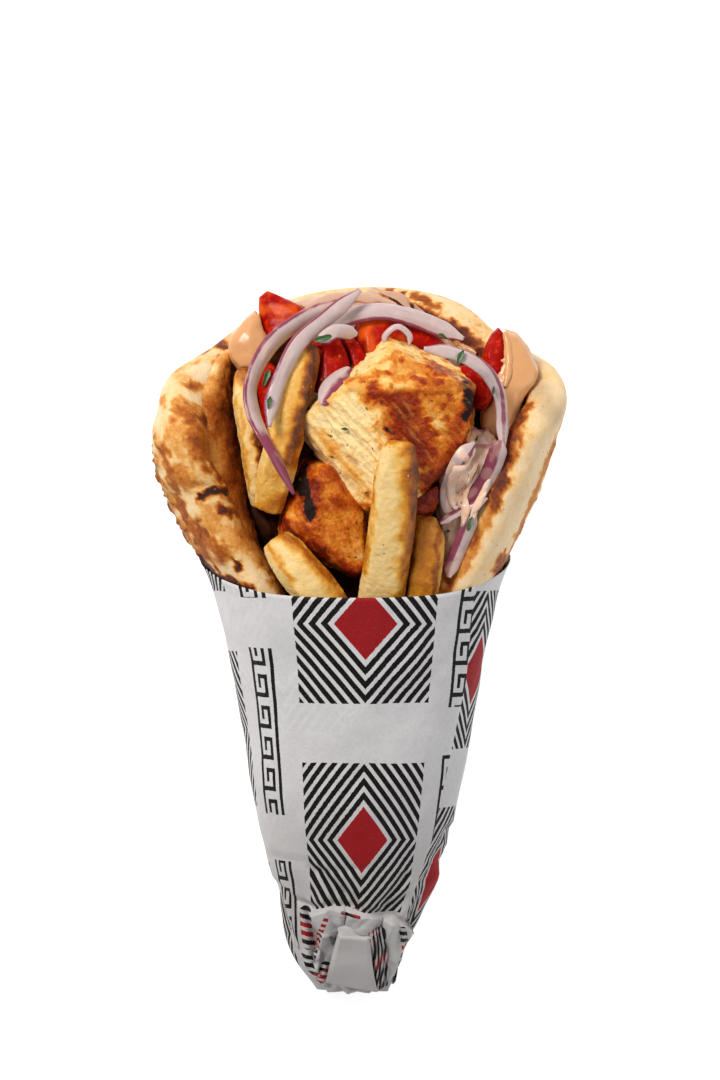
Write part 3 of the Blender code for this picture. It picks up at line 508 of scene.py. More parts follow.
TOASTED = (  # (line, width, strength) of toasted marks
    (((-41.5, 57.2), (-36, 54.8)), 2, 0.95), (((-33, 63), (-29.5, 62)), 3, 0.55),
    (((-40, 58), (-35, 57)), 3, 0.36), (((-48, 43.4), (-45.6, 42.9)), 1.8, 0.7),
    (((-39, 49.5), (-37.6, 40.6), (-37, 33.4), (-36, 29)), 3.8, 0.68), (((-48.5, 36), (-43, 33)), 4.4, 0.6),
    (((-45.2, 34.6), (-43.2, 33)), 1.7, 0.9), (((-52, 34), (-50.4, 33.6)), 1.6, 0.4),
    (((-44.4, 28.5), (-41.5, 24), (-38, 20)), 5.6, 0.66), (((-40, 21), (-36, 16)), 2.8, 0.82),
    (((-50.5, 19), (-47.5, 15.5)), 3.2, 0.45), (((-43.9, 11.8), (-40.2, 14), (-34.8, 13.6)), 1.3, 1.1),
    (((-39, 8.9), (-35.5, 7.6)), 1.7, 0.85), (((-45.2, 3.9), (-43.2, 1.6)), 2, 0.72),
    (((-42, 6), (-37, 1)), 4, 0.32),
    (((-34.4, 11.6), (-29.1, 3.2), (-22.7, -6.3), (-18.8, -13.4)), 4.4, 0.74),
    (((-45.4, -4.6), (-38.9, -10.2), (-30.4, -13.6)), 1.5, 0.95), (((-35.2, -5.4), (-33.6, -7.6)), 1.3, 0.95),
    (((-54.5, 26), (-50, 9), (-42.5, -6)), 1.6, 0.62),
    (((44.6, 39.5), (42.9, 30.5), (41, 24.1), (38.7, 16.1), (37.1, 9.8)), 3.2, 0.84),
    (((46.2, 38.2), (47.6, 37.4)), 1.4, 0.55),
    (((37.1, 8.9), (32.3, 0.8), (30.7, -3.9), (23.6, -14.4)), 2.2, 0.5),
    (((32.4, 0.4), (31, -1.6)), 1.6, 0.7), (((25.6, -9.4), (24.6, -12)), 1.8, 0.8),
    (((58, 33), (54.4, 26), (51, 17.7), (47, 7.3), (42, -4.8)), 1.1, 0.55),
    (((40.2, -4.6), (38.6, -9)), 2, 0.78), (((7.5, 71.6), (12, 71.2)), 1.6, 0.9),
    (((16, 71), (22.8, 67.9)), 1.6, 0.7), (((10, 68.4), (19.6, 65), (27, 60.4), (34.6, 54.4)), 3.6, 0.9),
    (((-43, 0), (-38, -4)), 3.6, 0.55),
)
CREASES = (  # (line, width, depth) of short folds in the crust
    (((-45.6, 14.8), (-38.5, 14.2), (-33, 10.8)), 1.5, 1.3), (((-40.5, 9.4), (-35, 7.4)), 1.3, 0.7),
    (((-46, 35.4), (-41, 32.6)), 1.4, 0.5), (((-41.2, 56.6), (-35, 54.2)), 1.5, 0.6),
    (((-37.5, -4.5), (-33.5, -8)), 1.4, 0.5), (((-47, 4.6), (-42.5, 2)), 1.4, 0.4),
)
RIM_PAINTED_SHADE = ((46.0, 51.0), (50.0, 43.0), (54.0, 35.0))  # a stretch of the right edge, greyed as painted shade where it turns away from the light
RIM_PAINTED_SHADE_WIDTH = 6.0


def eased_grid(points, rows, rounds):
    """Points of closed rows, eased between the first row and the last."""
    grid = points.reshape(rows, -1, 3).copy()
    for _ in range(rounds):
        beside = np.roll(grid, 1, axis=1) + np.roll(grid, -1, axis=1)
        grid[1:-1] = 0.5 * grid[1:-1] + 0.125 * (grid[:-2] + grid[2:] + beside[1:-1])
    return grid.reshape(-1, 3)


def pita_middle(y, angle):
    """Points in the middle of the bread, at angles round the roll from its lowest line."""
    halves = between(PITA_ROLL, y)
    lift = LIP_LIFT * np.maximum((y - LIP_LIFT_FROM_Y) / (PITA_TOP_Y - LIP_LIFT_FROM_Y), 0.0) ** 2
    turn = np.radians(angle)
    x = between(PITA_SIDEWAYS, y)[:, 0] + halves[:, 0] * np.sin(turn)
    return np.stack([x, y, PITA_CLEAR + PITA_INNER_HALF + lift + halves[:, 1] * (1 - np.cos(turn))], axis=1)


def pita_out(y, angle):
    return out_of(pita_middle, y, angle, 0.5, 0.5)


def pita_half(middle, y, angle, from_edge):
    """Half of the bread's thickness, which closes round its edge."""
    rim = PITA_RIM_HALF + PITA_LEFT_EXTRA * smooth(-angle, *PITA_LEFT_ANGLES) * smooth(y, *PITA_BARE_Y)
    half = PITA_INNER_HALF + (rim - PITA_INNER_HALF) * (1 - smooth(from_edge, *PITA_RIM_WIDTH))
    half = half * (1 + 0.06 * noise(middle, 11.0, 3))
    inside = np.clip(1 - from_edge / half, 0.0, 1.0)
    return half * np.sqrt(1 - inside**2)


def pita_fold(y, angle, share):
    """How far the folds in the left edge go in."""
    depth = sum(deep * np.exp(-(((y - place) / width) ** 2)) for place, width, deep in PITA_FOLDS)
    return depth * smooth(-angle, *PITA_FOLD_ANGLES) * smooth(share, *PITA_FOLD_SHARES)


def crust_relief(place, y, angle, outside):
    """How far the crust stands out, how blistered it is, and its rough grain."""
    shape = 0.45 * noise(place, 15.0, 8) + 0.22 * noise(place, 5.0, 9) + 0.07 * noise(place, 1.6, 10)
    for line, width, deep in CREASES:
        shape -= deep * near_line(place, line, width) * smooth(place[:, 2], 30.0, 38.0) * outside
    left = smooth(np.abs(angle - BLISTERED_LEFT), 20.0, 7.0)
    left = left * smooth(y, -11.0, -4.0) * smooth(y, 33.0, 27.0)
    right = smooth(np.abs(angle - BLISTERED_RIGHT), 16.0, 4.0)
    right = right * smooth(y, -4.0, 3.0) * smooth(y, 34.0, 28.0)
    patchy = 0.25 + 0.75 * smooth(layered(place, 6.0, 23, 2), -0.3, 0.3)
    blistered = (left + 0.4 * right) * outside * patchy
    rough = smooth(layered(place, 2.4, 21, 2), 0.05, 0.7)
    return shape + blistered * rough, blistered, rough


def toast_and_shade_of(place, seen, y, from_edge, blistered, shown_left, outside):
    """How brown the bread is, from 0 for pale to 1 for burnt; on the inside it holds painted shade of the
    pocket too.
    """
    from_z = 22.0 + 12.0 * smooth(place[:, 0], 38.0, 46.0) + 5.0 * layered(place, 7.0, 27, 2)
    shown = np.maximum(smooth(place[:, 2] - from_z, 0.0, 7.0), smooth(y, 53.0, 58.0))
    mouth = smooth(y, *MOUTH_Y)
    ragged = 0.34 * layered(place, 2.2, 25)
    toast_and_shade = np.zeros(len(place))
    for line, width, strength in TOASTED:
        near = 1.0 - distance_from(seen, line) / (1.15 * width)
        toast_and_shade = np.maximum(toast_and_shade, strength * smooth(near + ragged, -0.08, 0.72) * shown)
    if outside:
        grill = smooth(layered(place, 17.0, 31), 0.12, 0.62)
        patches = smooth(layered(place, 6.0, 33), 0.2, 0.6)
        for more in (grill * (0.62 - 0.52 * smooth(place[:, 2], 28.0, 38.0)), 0.34 * shown_left * patches,
                     0.5 * blistered):
            toast_and_shade = np.maximum(toast_and_shade, more)
    else:
        # Inside, the brown that grows away from the edge is toast and painted shade of the pocket
        further = 7.0 * mouth
        wall = smooth(from_edge, 1.0 + further, 9.0 + further)
        base = 0.62 + 0.22 * shown_left - 0.36 * smooth(y, 34.0, 46.0) + 0.16 * layered(place, 8.0, 35)
        toast_and_shade = np.maximum(toast_and_shade, wall * base)
    rimmed = (0.2 if outside else 0.42) * (1 - 0.8 * mouth * shown_left)
    rimmed = smooth(from_edge, 9.0, 1.0) * (rimmed + 0.4 * noise(place, 9.0, 37)) * (0.35 + 0.65 * shown_left)
    toast_and_shade = np.maximum(toast_and_shade, rimmed) + 0.1 * layered(place, 3.0, 39)
    return toast_and_shade + (0.05 if outside else -0.06) * shown_left


def make_pita():
    turn = np.tile(2 * np.pi * np.arange(PITA_AROUND) / PITA_AROUND, len(PITA_RINGS))
    share = np.repeat(PITA_RINGS, PITA_AROUND)
    from_edge = PITA_REACH * (1 - share)
    y = PITA_MIDDLE_Y + PITA_REACH_Y * share * np.sin(turn)
    angle = between(PITA_SWEEP, y)[:, 0] * share * np.cos(turn)
    middle, out = pita_middle(y, angle), pita_out(y, angle)
    half = pita_half(middle, y, angle, from_edge)
    middle = middle - out * pita_fold(y, angle, share)[:, None]
    points, faces, caps = [], [], []
    marks = {"toast_and_shade": [], "char": [], "rim_painted_shade": []}
    count = len(share)
    for start, side in ((0, 1), (count, -1)):
        outside = side > 0
        place = eased_grid(middle + out * (half * side)[:, None], len(PITA_RINGS), PITA_EASE)
        seen = place + RAGGED * noise(place, 2.6, 5)[:, None]
        shown_left = smooth(-place[:, 0], *SHOWN_LEFT_X)
        shape, blistered, rough = crust_relief(place, y, angle, outside)
        thick = np.clip(half / 2.5, 0.0, 1.0)
        place = place + out * (side * shape * smooth(share, 0.55, 0.75) * thick)[:, None]
        toast_and_shade = toast_and_shade_of(place, seen, y, from_edge, blistered, shown_left, outside)
        # Painted shade: pale parts of the right edge are greyed where they turn from the light
        rim_painted_shade = near_line(seen, RIM_PAINTED_SHADE, RIM_PAINTED_SHADE_WIDTH) * smooth(0.4 - toast_and_shade, 0.0, 0.3)
        marks["toast_and_shade"].append(toast_and_shade)
        marks["char"].append(blistered * smooth(rough, 0.25, 0.75) + smooth(toast_and_shade, 0.92, 1.15))
        marks["rim_painted_shade"].append(rim_painted_shade * smooth(place[:, 2], 28.0, 36.0))
        points.append(place)
        remember(place)
        faces.append((grid_faces(len(PITA_RINGS), PITA_AROUND) + start)[:, ::side])
        caps.append(tuple(range(start, start + PITA_AROUND))[::-side])
    marks = {name: np.concatenate(values) for name, values in marks.items()}
    faces = np.concatenate(faces).tolist() + caps
    piece = mesh_object("pita_bread", np.concatenate(points), faces, LOOKS["bread"], marks)
    weld(piece.data)
    stand_for(piece, "bread", "pita")


WALL_FOOT = (  # (y, x, z) where the left inner wall goes under the fries
    (-12, -24, 44), (2, -28.5, 41), (10, -31.4, 39), (22, -33, 38), (35, -35, 37), (48, -36.6, 35),
    (60, -33, 27),
)
WALL_ROWS, WALL_COLUMNS = 150, 40
WALL_Y = (60.0, -12.0)
WALL_SWEEP = 0.955
WALL_IN = 4.4


def make_inner_wall():
    """The inner face of the left edge, down to the filling."""
    y = np.repeat(np.linspace(*WALL_Y, WALL_ROWS), WALL_COLUMNS)
    t = np.tile(np.linspace(0.0, 1.0, WALL_COLUMNS), WALL_ROWS)
    reach = np.sqrt(np.clip(1 - ((y - PITA_MIDDLE_Y) / PITA_REACH_Y) ** 2, 0.0, 1.0))
    edge = -between(PITA_SWEEP, y)[:, 0] * reach * WALL_SWEEP
    top = pita_middle(y, edge) - pita_out(y, edge) * WALL_IN
    foot = between(WALL_FOOT, y)
    foot = np.stack([foot[:, 0], y, foot[:, 1]], axis=1)
    points = top + (foot - top) * t[:, None]
    points[:, 2] += 2.0 * np.sin(np.pi * t) * smooth(y, -12.0, 0.0)
    points[:, 0] += 0.7 * noise(points, 8.0, 41) + 0.35 * layered(points, 3.0, 42, 2)
    # Toast, growing darker towards the foot as painted shade of the gap under the rim
    toast_and_shade = 0.5 + 0.3 * smooth(t, 0.1, 0.9) - 0.24 * smooth(y, 34.0, 48.0) + 0.2 * layered(points, 6.0, 43)
    faces = grid_faces(WALL_ROWS, WALL_COLUMNS, closed=False).tolist()
    piece = mesh_object("pita_inner_wall", points, faces, LOOKS["bread"], {"toast_and_shade": toast_and_shade})
    remember(points)
    stand_for(piece, "bread")


def bread_look():
    look = Look("bread", roughness=0.6, subsurface=0.1, radius=(1.0, 0.55, 0.3), scale=1.6, specular=0.25)
    # Toast, with painted shade on the inside of the bread
    toast_and_shade = look.mark("toast_and_shade") + (look.noise(1.0, 5.0, 0.7) - 0.5) * 0.5
    crust = look.ramp(
        toast_and_shade, (0.0, (0.82, 0.62, 0.38)), (0.18, (0.80, 0.53, 0.24)), (0.36, (0.66, 0.29, 0.055)),
        (0.6, (0.42, 0.105, 0.006)), (0.84, (0.15, 0.022, 0.002)), (1.0, (0.04, 0.009, 0.003)),
    )
    char = look.mark("char") * look.step(look.noise(0.8), 0.3, 0.6)
    colour = look.mix(char, crust, (0.018, 0.008, 0.004))
    # Painted shade greys the right edge where it turns from the light
    colour = look.mix(look.mark("rim_painted_shade") * 0.8, colour, (0.50, 0.35, 0.20))
    colour = look.speckled(colour, (0.30, 0.13, 0.04), 0.55, 1.6, 0.2, 0.22)
    return look.finish(colour, (look.noise(0.45), 0.10), (look.noise(1.8), 0.25))


# --- Paper ----------------------------------------------------------------------------------------

PAPER_TAIL_Y = -133.0
PAPER_ROLL = (  # (y, half width, half height)
    (-133, 9.6, 5.6), (-126, 13.4, 8.4), (-118.5, 16.7, 10.4), (-111.7, 19.2, 12.4), (-97.8, 24.4, 16),
    (-75, 29.6, 21.2), (-45, 34.3, 26.4), (-16, 40.5, 31.2), (-3, 46.4, 34), (10, 52.4, 36.6),
)
PAPER_SIDEWAYS = (  # (y, x) of its middle
    (-133, -1.4), (-118.5, -3.4), (-108, -2.6), (-97, -1.2), (-16, -0.6), (10, -2),
)
PAPER_EDGE_FRONT_Y = -15.8
PAPER_EDGE_RISE = 23.0
PAPER_EDGE_POWER = 1.3
PAPER_FLAT = 0.7  # how much of the roll's height goes into the foot that it rests on
PAPER_THICK = 0.2
FOOT_ANGLE = 9.0
FOOT_X = -0.8
FOOT_HALF = ((-133.0, 2.2), (10.0, 6.9))
PLEATS_OFF_FOOT = 50.0
PLEATS_FROM_Y = -92.0
PLEATS_FULL_Y = -116.0
PLEAT_DEPTH = 1.7
PLEAT_COUNT = 9
PLEAT_UNEVEN = 1.3
PLEAT_LEAN = 0.08
TAIL_FLAP = (-2.5, -123.5, 5.6, 8.5, 3.2)  # middle x, y, half sizes and height
FLAP_EDGE = 1.7
PAPER_AROUND = 330
PAPER_ROWS = np.concatenate([
    np.linspace(0.0, 0.02, 3), np.linspace(0.03, 0.58, 90), np.linspace(0.583, 1.0, 170),
])
CAP_ROWS = 6
CAP_BULGE = 5.0
INSIDE_ROWS = 14
CRUMPLED_Y = (-84.0, -108.0)
TAIL_END_Y = (-133.0, -129.5)
FRONT_Z = (7.0, 13.0)
UNDER_FLAP = 2.2  # how far the tail is sunk below its flap
SEAM_STEP = 0.25
HUG = 0.8  # how far its top edge leans in to the bread
PRINT_RADIUS = 30.0
PAPER_CREASES = (  # (line, width, depth) of sharp creases
    (((-11.5, -95), (-1.1, -104.8)), 2.6, 1.1), (((-13.5, -94), (-8, -101.5), (-7, -108)), 2, 0.8),
    (((-11.5, -95), (2, -93.5)), 1.8, 0.35), (((9.4, -106.8), (24.3, -93.3)), 2.6, 0.9),
    (((7.2, -104.8), (12.9, -96.5)), 2.2, 0.8), (((15, -112), (24.5, -90.5)), 2.4, 0.9),
    (((-24.3, -91), (-14.3, -92.2)), 2.5, 0.35), (((23.7, -34.8), (30.6, -27.8)), 3.5, 0.4),
    (((-33, -22), (-27, -60)), 3.5, 0.3), (((22, -92), (26, -84)), 2.6, 1.2),
)
TUCK_LINE = (  # the rim of the closed tail
    (-24, -100), (-19, -104), (-12.5, -106.4), (-8, -105.2), (-3.3, -105.5), (1.5, -107.3), (6.5, -107.8),
    (9.8, -108.8), (14.5, -112.5), (17.5, -119), (19, -126),
)
TUCK_FOLDS = (  # (line, width, height) of ridges (+) and valleys (-) below that rim
    (((-12, -106.6), (-9.4, -113)), 1.5, 0.9), (((-9, -105.6), (-7.2, -111.6)), 1.2, -0.9),
    (((-5.8, -105.6), (-6.4, -110.6)), 1.3, 0.4), (((-3.3, -105.6), (-4.4, -110.6)), 0.8, -0.7),
    (((-0.8, -106.6), (-2.6, -110.8)), 1.6, 0.3), (((2.6, -107.6), (0.4, -111)), 0.8, -0.5),
    (((4.8, -107.8), (2.4, -111.2)), 1.5, 0.4), (((6.8, -108), (5.2, -112.4)), 0.8, -0.9),
    (((9.6, -109), (8.6, -116), (10, -122)), 1.4, 1.1), (((11.6, -110.6), (11.2, -117)), 1.2, -1),
    (((13.8, -112.6), (12.6, -119), (12.2, -124)), 1.3, 1.2),
    (((-14.6, -107), (-12.8, -115), (-13.6, -123)), 1.5, -1),
    (((-16.8, -105.8), (-15.4, -114), (-15, -121)), 1.5, 0.9),
    (((-9.6, -114), (-12.4, -121.6), (-15, -123.4)), 1.2, 1), (((-9, -118), (-11.4, -126)), 1.2, -1),
    (((-12.6, -125), (-9.8, -130)), 1.2, 0.8),
)
TUCK_PRINT = (  # (line, half width, pace of its bands) of print that shows in the folds
    (((-9.6, -109), (-11.4, -113.6), (-12.2, -117), (-13.6, -122.4)), 0.75, 1),
    (((-15.6, -107.2), (-15.4, -112), (-14.8, -117.6)), 1.7, 0.72),
    (((-9.8, -124.6), (-11.6, -128.6)), 1.6, 0.9), (((-15.8, -121), (-13.6, -126.4)), 1.2, 0.8),
    (((12.6, -113), (13.6, -120), (11.6, -127)), 1.1, 0.8), (((-4.4, -107.4), (-0.6, -108.4)), 1, 1.1),
)
SEAM_LINE = ((34.0, 10.0), (30.0, -40.0), (21.0, -85.0), (13.0, -110.0))  # the sheet's outer edge


def crease_along(points, line, width):
    """1 on a line seen from above, falling straight to 0 at a distance of width."""
    return 1 - np.minimum(distance_from(points, line) / width, 1.0)


def paper_edge_y(turn):
    """Where the sheet's slanting top edge lies."""
    return PAPER_EDGE_FRONT_Y + PAPER_EDGE_RISE * ((1 - np.cos(turn)) / 2) ** PAPER_EDGE_POWER


def paper_surface(along, angle):
    """Points of the wrap's outside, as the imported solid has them."""
    turn = np.radians(angle)
    edge_y = paper_edge_y(turn)
    y = edge_y + (PAPER_TAIL_Y - edge_y) * along
    halves = between(PAPER_ROLL, y)
    phase = PLEAT_COUNT * turn + PLEAT_UNEVEN * np.sin(2 * turn) + PLEAT_LEAN * y
    sharp = np.arcsin(np.clip(np.cos(phase), -1, 1)) * 2 / np.pi
    off_foot = smooth(np.abs(angle - 180.0), FOOT_ANGLE, PLEATS_OFF_FOOT)
    pleats = smooth(y, PLEATS_FROM_Y, PLEATS_FULL_Y) * PLEAT_DEPTH
    pleats = pleats * (0.35 * np.cos(phase) + 0.65 * sharp) * off_foot
    x = between(PAPER_SIDEWAYS, y)[:, 0] + (halves[:, 0] + pleats) * np.sin(turn)
    z = halves[:, 1] * (1 + np.cos(turn)) + pleats * np.cos(turn) - PAPER_FLAT
    middle_x, middle_y, half_x, half_y, height = TAIL_FLAP
    over_x = 1 - smooth(np.abs(x - middle_x), half_x - FLAP_EDGE, half_x + FLAP_EDGE)
    over_y = 1 - smooth(np.abs(y - middle_y), half_y - FLAP_EDGE, half_y + FLAP_EDGE)
    z += height * over_x * over_y * (np.cos(turn) > 0) * 0.6
    on_foot = np.abs(angle - 180.0) <= FOOT_ANGLE
    x = np.where(on_foot, FOOT_X + between(FOOT_HALF, y)[:, 0] * (180.0 - angle) / FOOT_ANGLE, x)
    return np.stack([x, y, np.where(on_foot, 0.0, np.maximum(z, 0.0))], axis=1)


def paper_relief(points, angle, u, v):
    """How far the crumples of thin paper stand out of the wrap. V runs down from its top edge."""
    x, y, z = points.T
    low = smooth(y, *CRUMPLED_Y)
    front = smooth(z, *FRONT_Z)
    relief = 0.55 * layered(points, (15.0, 28.0, 15.0), 51) * (1 - 0.6 * low)
    relief += 0.4 * facets(u, v * 0.6, 14.0, 3) * smooth(y, -18.0, -55.0)
    below = -above_line(points, TUCK_LINE)
    tucked = smooth(below, 0.0, 0.8) * front * smooth(x, -19.5, -14.0)
    relief += low * (0.35 + 0.65 * tucked) * (0.6 * facets(u, v, 7.0, 5) + 0.5 * facets(u + 3.0, v, 3.4, 9))
    sunk = 0.7 * smooth(below, -2.4, -0.1) * (1 - tucked) * front
    relief += tucked * (1.5 - 1.1 * smooth(below, 1.0, 9.0)) - sunk
    for line, width, high in TUCK_FOLDS:
        relief += high * crease_along(points, line, width) * tucked
    middle_x, middle_y, half_x, half_y, _ = TAIL_FLAP
    under_flap = smooth(np.abs(x - middle_x), half_x + 2.0, half_x)
    under_flap = under_flap * smooth(np.abs(y - middle_y), half_y + 1.0, half_y) * front
    relief = relief * (1 - under_flap) - UNDER_FLAP * under_flap
    for line, width, deep in PAPER_CREASES:
        relief -= deep * crease_along(points, line, width) * (z > 10.0)
    off_foot = smooth(np.abs(angle - 180.0), FOOT_ANGLE + 1.0, FOOT_ANGLE + 14.0)
    off_edge = 0.3 + 0.7 * smooth(v, 0.0, 6.0)
    return relief * off_foot * off_edge * (0.7 + 0.3 * front) * smooth(y, *TAIL_END_Y)


def tail_cap(last, u):
    """Crumpled rings that close the tail's end."""
    middle = last.mean(axis=0)
    rings = []
    for k in range(1, CAP_ROWS + 1):
        share = k / CAP_ROWS
        ring = last + (middle - last) * share * 0.96
        crumpled = facets(u * (1 - share * 0.6), np.full(PAPER_AROUND, k * 2.5), 4.0, 7)
        ring[:, 1] += CAP_BULGE * share**0.7 + 1.0 * crumpled * (share < 1)
        rings.append(ring)
    return np.concatenate(rings)


def printed_folds(points, v):
    """Where the tail's folds show print, and how far its bands have run."""
    banded, bands = np.zeros(len(points)), v
    for line, half, pace in TUCK_PRINT:
        inside = half - distance_from(points, line)
        banded = np.maximum(banded, np.clip(0.5 + 0.8 * inside, 0.0, 1.0))
        bands = np.where(inside > -0.8, pace * (points[:, 1] + 0.25 * points[:, 0]), bands)
    return banded, bands


def make_paper():
    angle = np.tile(360.0 * np.arange(PAPER_AROUND) / PAPER_AROUND, len(PAPER_ROWS))
    along = np.repeat(PAPER_ROWS, PAPER_AROUND)
    surface, out = paper_surface(along, angle), out_of(paper_surface, along, angle, 0.004, 0.7)
    x, y, z = surface.T
    turn = np.radians(np.where(angle > 180.0, angle - 360.0, angle))
    u = turn * (0.35 * between(PAPER_ROLL, y)[:, 0] + 0.65 * PRINT_RADIUS)
    down = paper_edge_y(turn) - y
    hug = HUG * smooth(down, 16.0, 0.0) * smooth(np.abs(np.sin(turn)), 0.5, 1.0) * smooth(z, 8.0, 20.0)
    points = surface + out * (paper_relief(surface, angle, u, down) - hug)[:, None]
    seam = right_of_line(points, SEAM_LINE)
    points += out * (SEAM_STEP * (smooth(seam, 0.25, -0.25) * (z > 12.0)))[:, None]
    points[:, 2] = np.maximum(points[:, 2], 0.0)
    tucked = np.minimum(-above_line(points, TUCK_LINE), x + 17.5)
    banded, bands = printed_folds(points, -y)
    last, inside = slice(-PAPER_AROUND, None), slice(INSIDE_ROWS * PAPER_AROUND)
    cap, inner = tail_cap(points[last], u[last]), points[inside] - out[inside] * PAPER_THICK
    start = len(points) + len(cap)
    i = np.arange(PAPER_AROUND)
    j = (i + 1) % PAPER_AROUND
    faces = np.concatenate([
        grid_faces(len(PAPER_ROWS) + CAP_ROWS, PAPER_AROUND),
        start + grid_faces(INSIDE_ROWS, PAPER_AROUND)[:, ::-1],
        np.stack([j, i, start + i, start + j], axis=1),
    ]).tolist() + [tuple(range(start - PAPER_AROUND, start))]

    def all_over(outer, on_cap=0.0, on_inner=0.0):
        """A mark's values outside, on the cap and inside."""
        return np.concatenate([outer, np.full(len(cap), on_cap), np.full(len(inner), on_inner)])

    down_cap = np.repeat(1.5 * np.arange(1, CAP_ROWS + 1) - y[-1], PAPER_AROUND)
    marks = {
        "u": all_over(u, np.tile(u[last], CAP_ROWS), u[inside]),
        "v": all_over(bands, down_cap, -y[inside]),
        "other": all_over(np.clip(seam + 0.5, 0.0, 1.0) * (z > 6.0)),
        # Painted shade: the wrap grows darker towards its tail, and is fully darkened on its cap
        "low": all_over(smooth(y, -55.0, -112.0), 1.0),
        "banded": all_over(banded),
        "plain": all_over(np.clip(0.5 + 0.6 * tucked, 0.0, 1.0) * (z > 5.0)),
    }
    piece = mesh_object("wrap_sheet", np.concatenate([points, cap, inner]), faces, LOOKS["paper"], marks)
    stand_for(piece, "paper", "paper")


TAIL_SHEETS = (  # (name, corners from the upper left one round, lifts there, folds, depth, bands across, bow)
    ("tail_lobe", ((6.8, -108.8), (12.8, -110.6), (11.6, -125.4), (9, -127.4)), (1.6, 0.6, 0.4, 1),
     2, 0.9, 0, 1.2),
    ("tail_pleats", ((1.6, -112.8), (7.8, -111.2), (10.6, -130.4), (4.2, -132.6)), (3.2, 1.9, 1, 2.2),
     5, 1.4, 1, 2),
    ("tuck_band", ((-6.4, -110.6), (4.6, -110.8), (3.4, -115), (-5.8, -114.8)), (1.2, 1.2, 3.6, 3.6),
     0, 0.3, 0, 0.4),
    ("tail_flap", ((-6.2, -113.4), (3.2, -114), (5.4, -132.4), (-9.8, -129.2)), (4.2, 4.2, 3.8, 3.4),
     0, 0.5, 0, -0.5),
)
TAIL_ROWS, TAIL_COLUMNS = 40, 70


def wrap_height(x, y):
    """The height of the wrap's upper side."""
    halves = between(PAPER_ROLL, y)
    across = np.clip((x - between(PAPER_SIDEWAYS, y)[:, 0]) / halves[:, 0], -0.97, 0.97)
    return halves[:, 1] * (1 + np.sqrt(1 - across**2)) - PAPER_FLAT


def make_tail_sheet(name, corners, lifts, folds, depth, across, bow):
    """A folded flap of the wrap, laid over its tail."""
    seed = len(name) + folds
    t = np.repeat(np.linspace(0.0, 1.0, TAIL_ROWS), TAIL_COLUMNS)
    s = np.tile(np.linspace(0.0, 1.0, TAIL_COLUMNS), TAIL_ROWS)
    one, two, three, four = (np.array(corner) for corner in corners)
    head, foot = one + np.outer(s, two - one), four + np.outer(s, three - four)
    place = head * (1 - t)[:, None] + foot * t[:, None]
    place[:, 0] += bow * np.sin(np.pi * t) * s - 0.35 * abs(bow) * np.sin(np.pi * t) * (1 - s) * (bow < 0)
    lift = (lifts[0] + (lifts[1] - lifts[0]) * s) * (1 - t) + (lifts[3] + (lifts[2] - lifts[3]) * s) * t
    width, height = np.linalg.norm(two - one), np.linalg.norm(four - one)
    waver = noise(np.stack([s * 2, t * 2, s * 0 + seed], axis=1), 1.0, seed)
    zigzag = np.abs((s * folds + 0.22 * waver) % 1.0 - 0.5) * 4 - 1
    lift += depth * ((0.3 + 0.7 * t) * zigzag if folds else -np.sin(np.pi * s) * 1.1 + 0.5 * waver)
    lift += (0.32 if folds else 0.16) * facets(s * width, t * height, 5.5, seed)
    edge = np.minimum(np.minimum(s, 1 - s) * width, t * height)
    lift -= 1.3 * smooth(edge, 1.2, 0.0) * smooth(t, 0.9, 0.1)
    place[:, 1] += 0.5 * zigzag * t * (folds > 0)
    points = np.column_stack([place, wrap_height(place[:, 0], place[:, 1]) + lift])
    bands = across * (1.9 * s * width + 1.6 * waver + 0.34 * t * height)
    full = np.ones(len(s))
    # The tail sheets take the full painted shade of the lower wrap
    marks = {"u": bands, "v": bands, "low": full, "banded": full * across, "plain": full}
    faces = grid_faces(TAIL_ROWS, TAIL_COLUMNS, closed=False).tolist()
    piece = mesh_object(name, points, faces, LOOKS["paper"], marks)
    thicken(piece, 0.0)
    stand_for(piece, "paper")


BLOCK = (-17.5, 17.5, -22.5, 22.5)  # x from, x to, y from, y to
BLOCK_REPEAT_X, BLOCK_REPEAT_Y = 58.0, 62.0
KEY_X = 29.0
KEY_REPEAT = 9.0
KEY_BARS = (
    (-4.5, -3.3, -4.5, 4.5), (3.3, 4.5, -4.5, 4.5), (-4.5, 2.0, 2.3, 3.6),
    (0.8, 2.0, -1.9, 3.6), (-2.0, 2.0, -3.0, -1.8), (-2.0, -0.8, -3.0, 1.0),
)


class PrintedLook(Look):
    """Paper with a repeating print, drawn in the sheet's own millimetres."""

    def repeat(self, value, size):
        """Where value falls from the middle of a repeat of a size, and which repeat that is."""
        share = value / size
        whole = self.math("FLOOR", share)
        return (share - whole - 0.5) * size, whole

    def box(self, x, y, x_low, x_high, y_low, y_high):
        """1 inside a rectangle."""
        return (x > x_low) * (x < x_high) * ((y > y_low) * (y < y_high))

    def either(self, one, *others):
        for other in others:
            one = self.math("MAXIMUM", one, other)
        return one

    def lozenges(self, u, v):
        """Ink and red of a half-drop print: nested lozenges between strips of a running key."""
        x, column = self.repeat(u + 21.0, BLOCK_REPEAT_X)
        odd = abs(column % 2.0)
        y, _ = self.repeat(v + 8.0 + odd * (BLOCK_REPEAT_Y / 2), BLOCK_REPEAT_Y)
        x = x + 6.0
        size = abs(x) / 18.0 + abs(y) / 24.0
        ring = self.math("FRACT", size * 6.0)
        rings = (ring < 0.58) * (size > 0.5) * self.box(x, y, *BLOCK)
        key_x, (key_y, _) = x - KEY_X, self.repeat(v, KEY_REPEAT)
        key = self.either(*(self.box(key_x, key_y, *bar) for bar in KEY_BARS))
        return self.either(rings, key * ((y > -24.0) * (y < 24.0))), size < 0.42


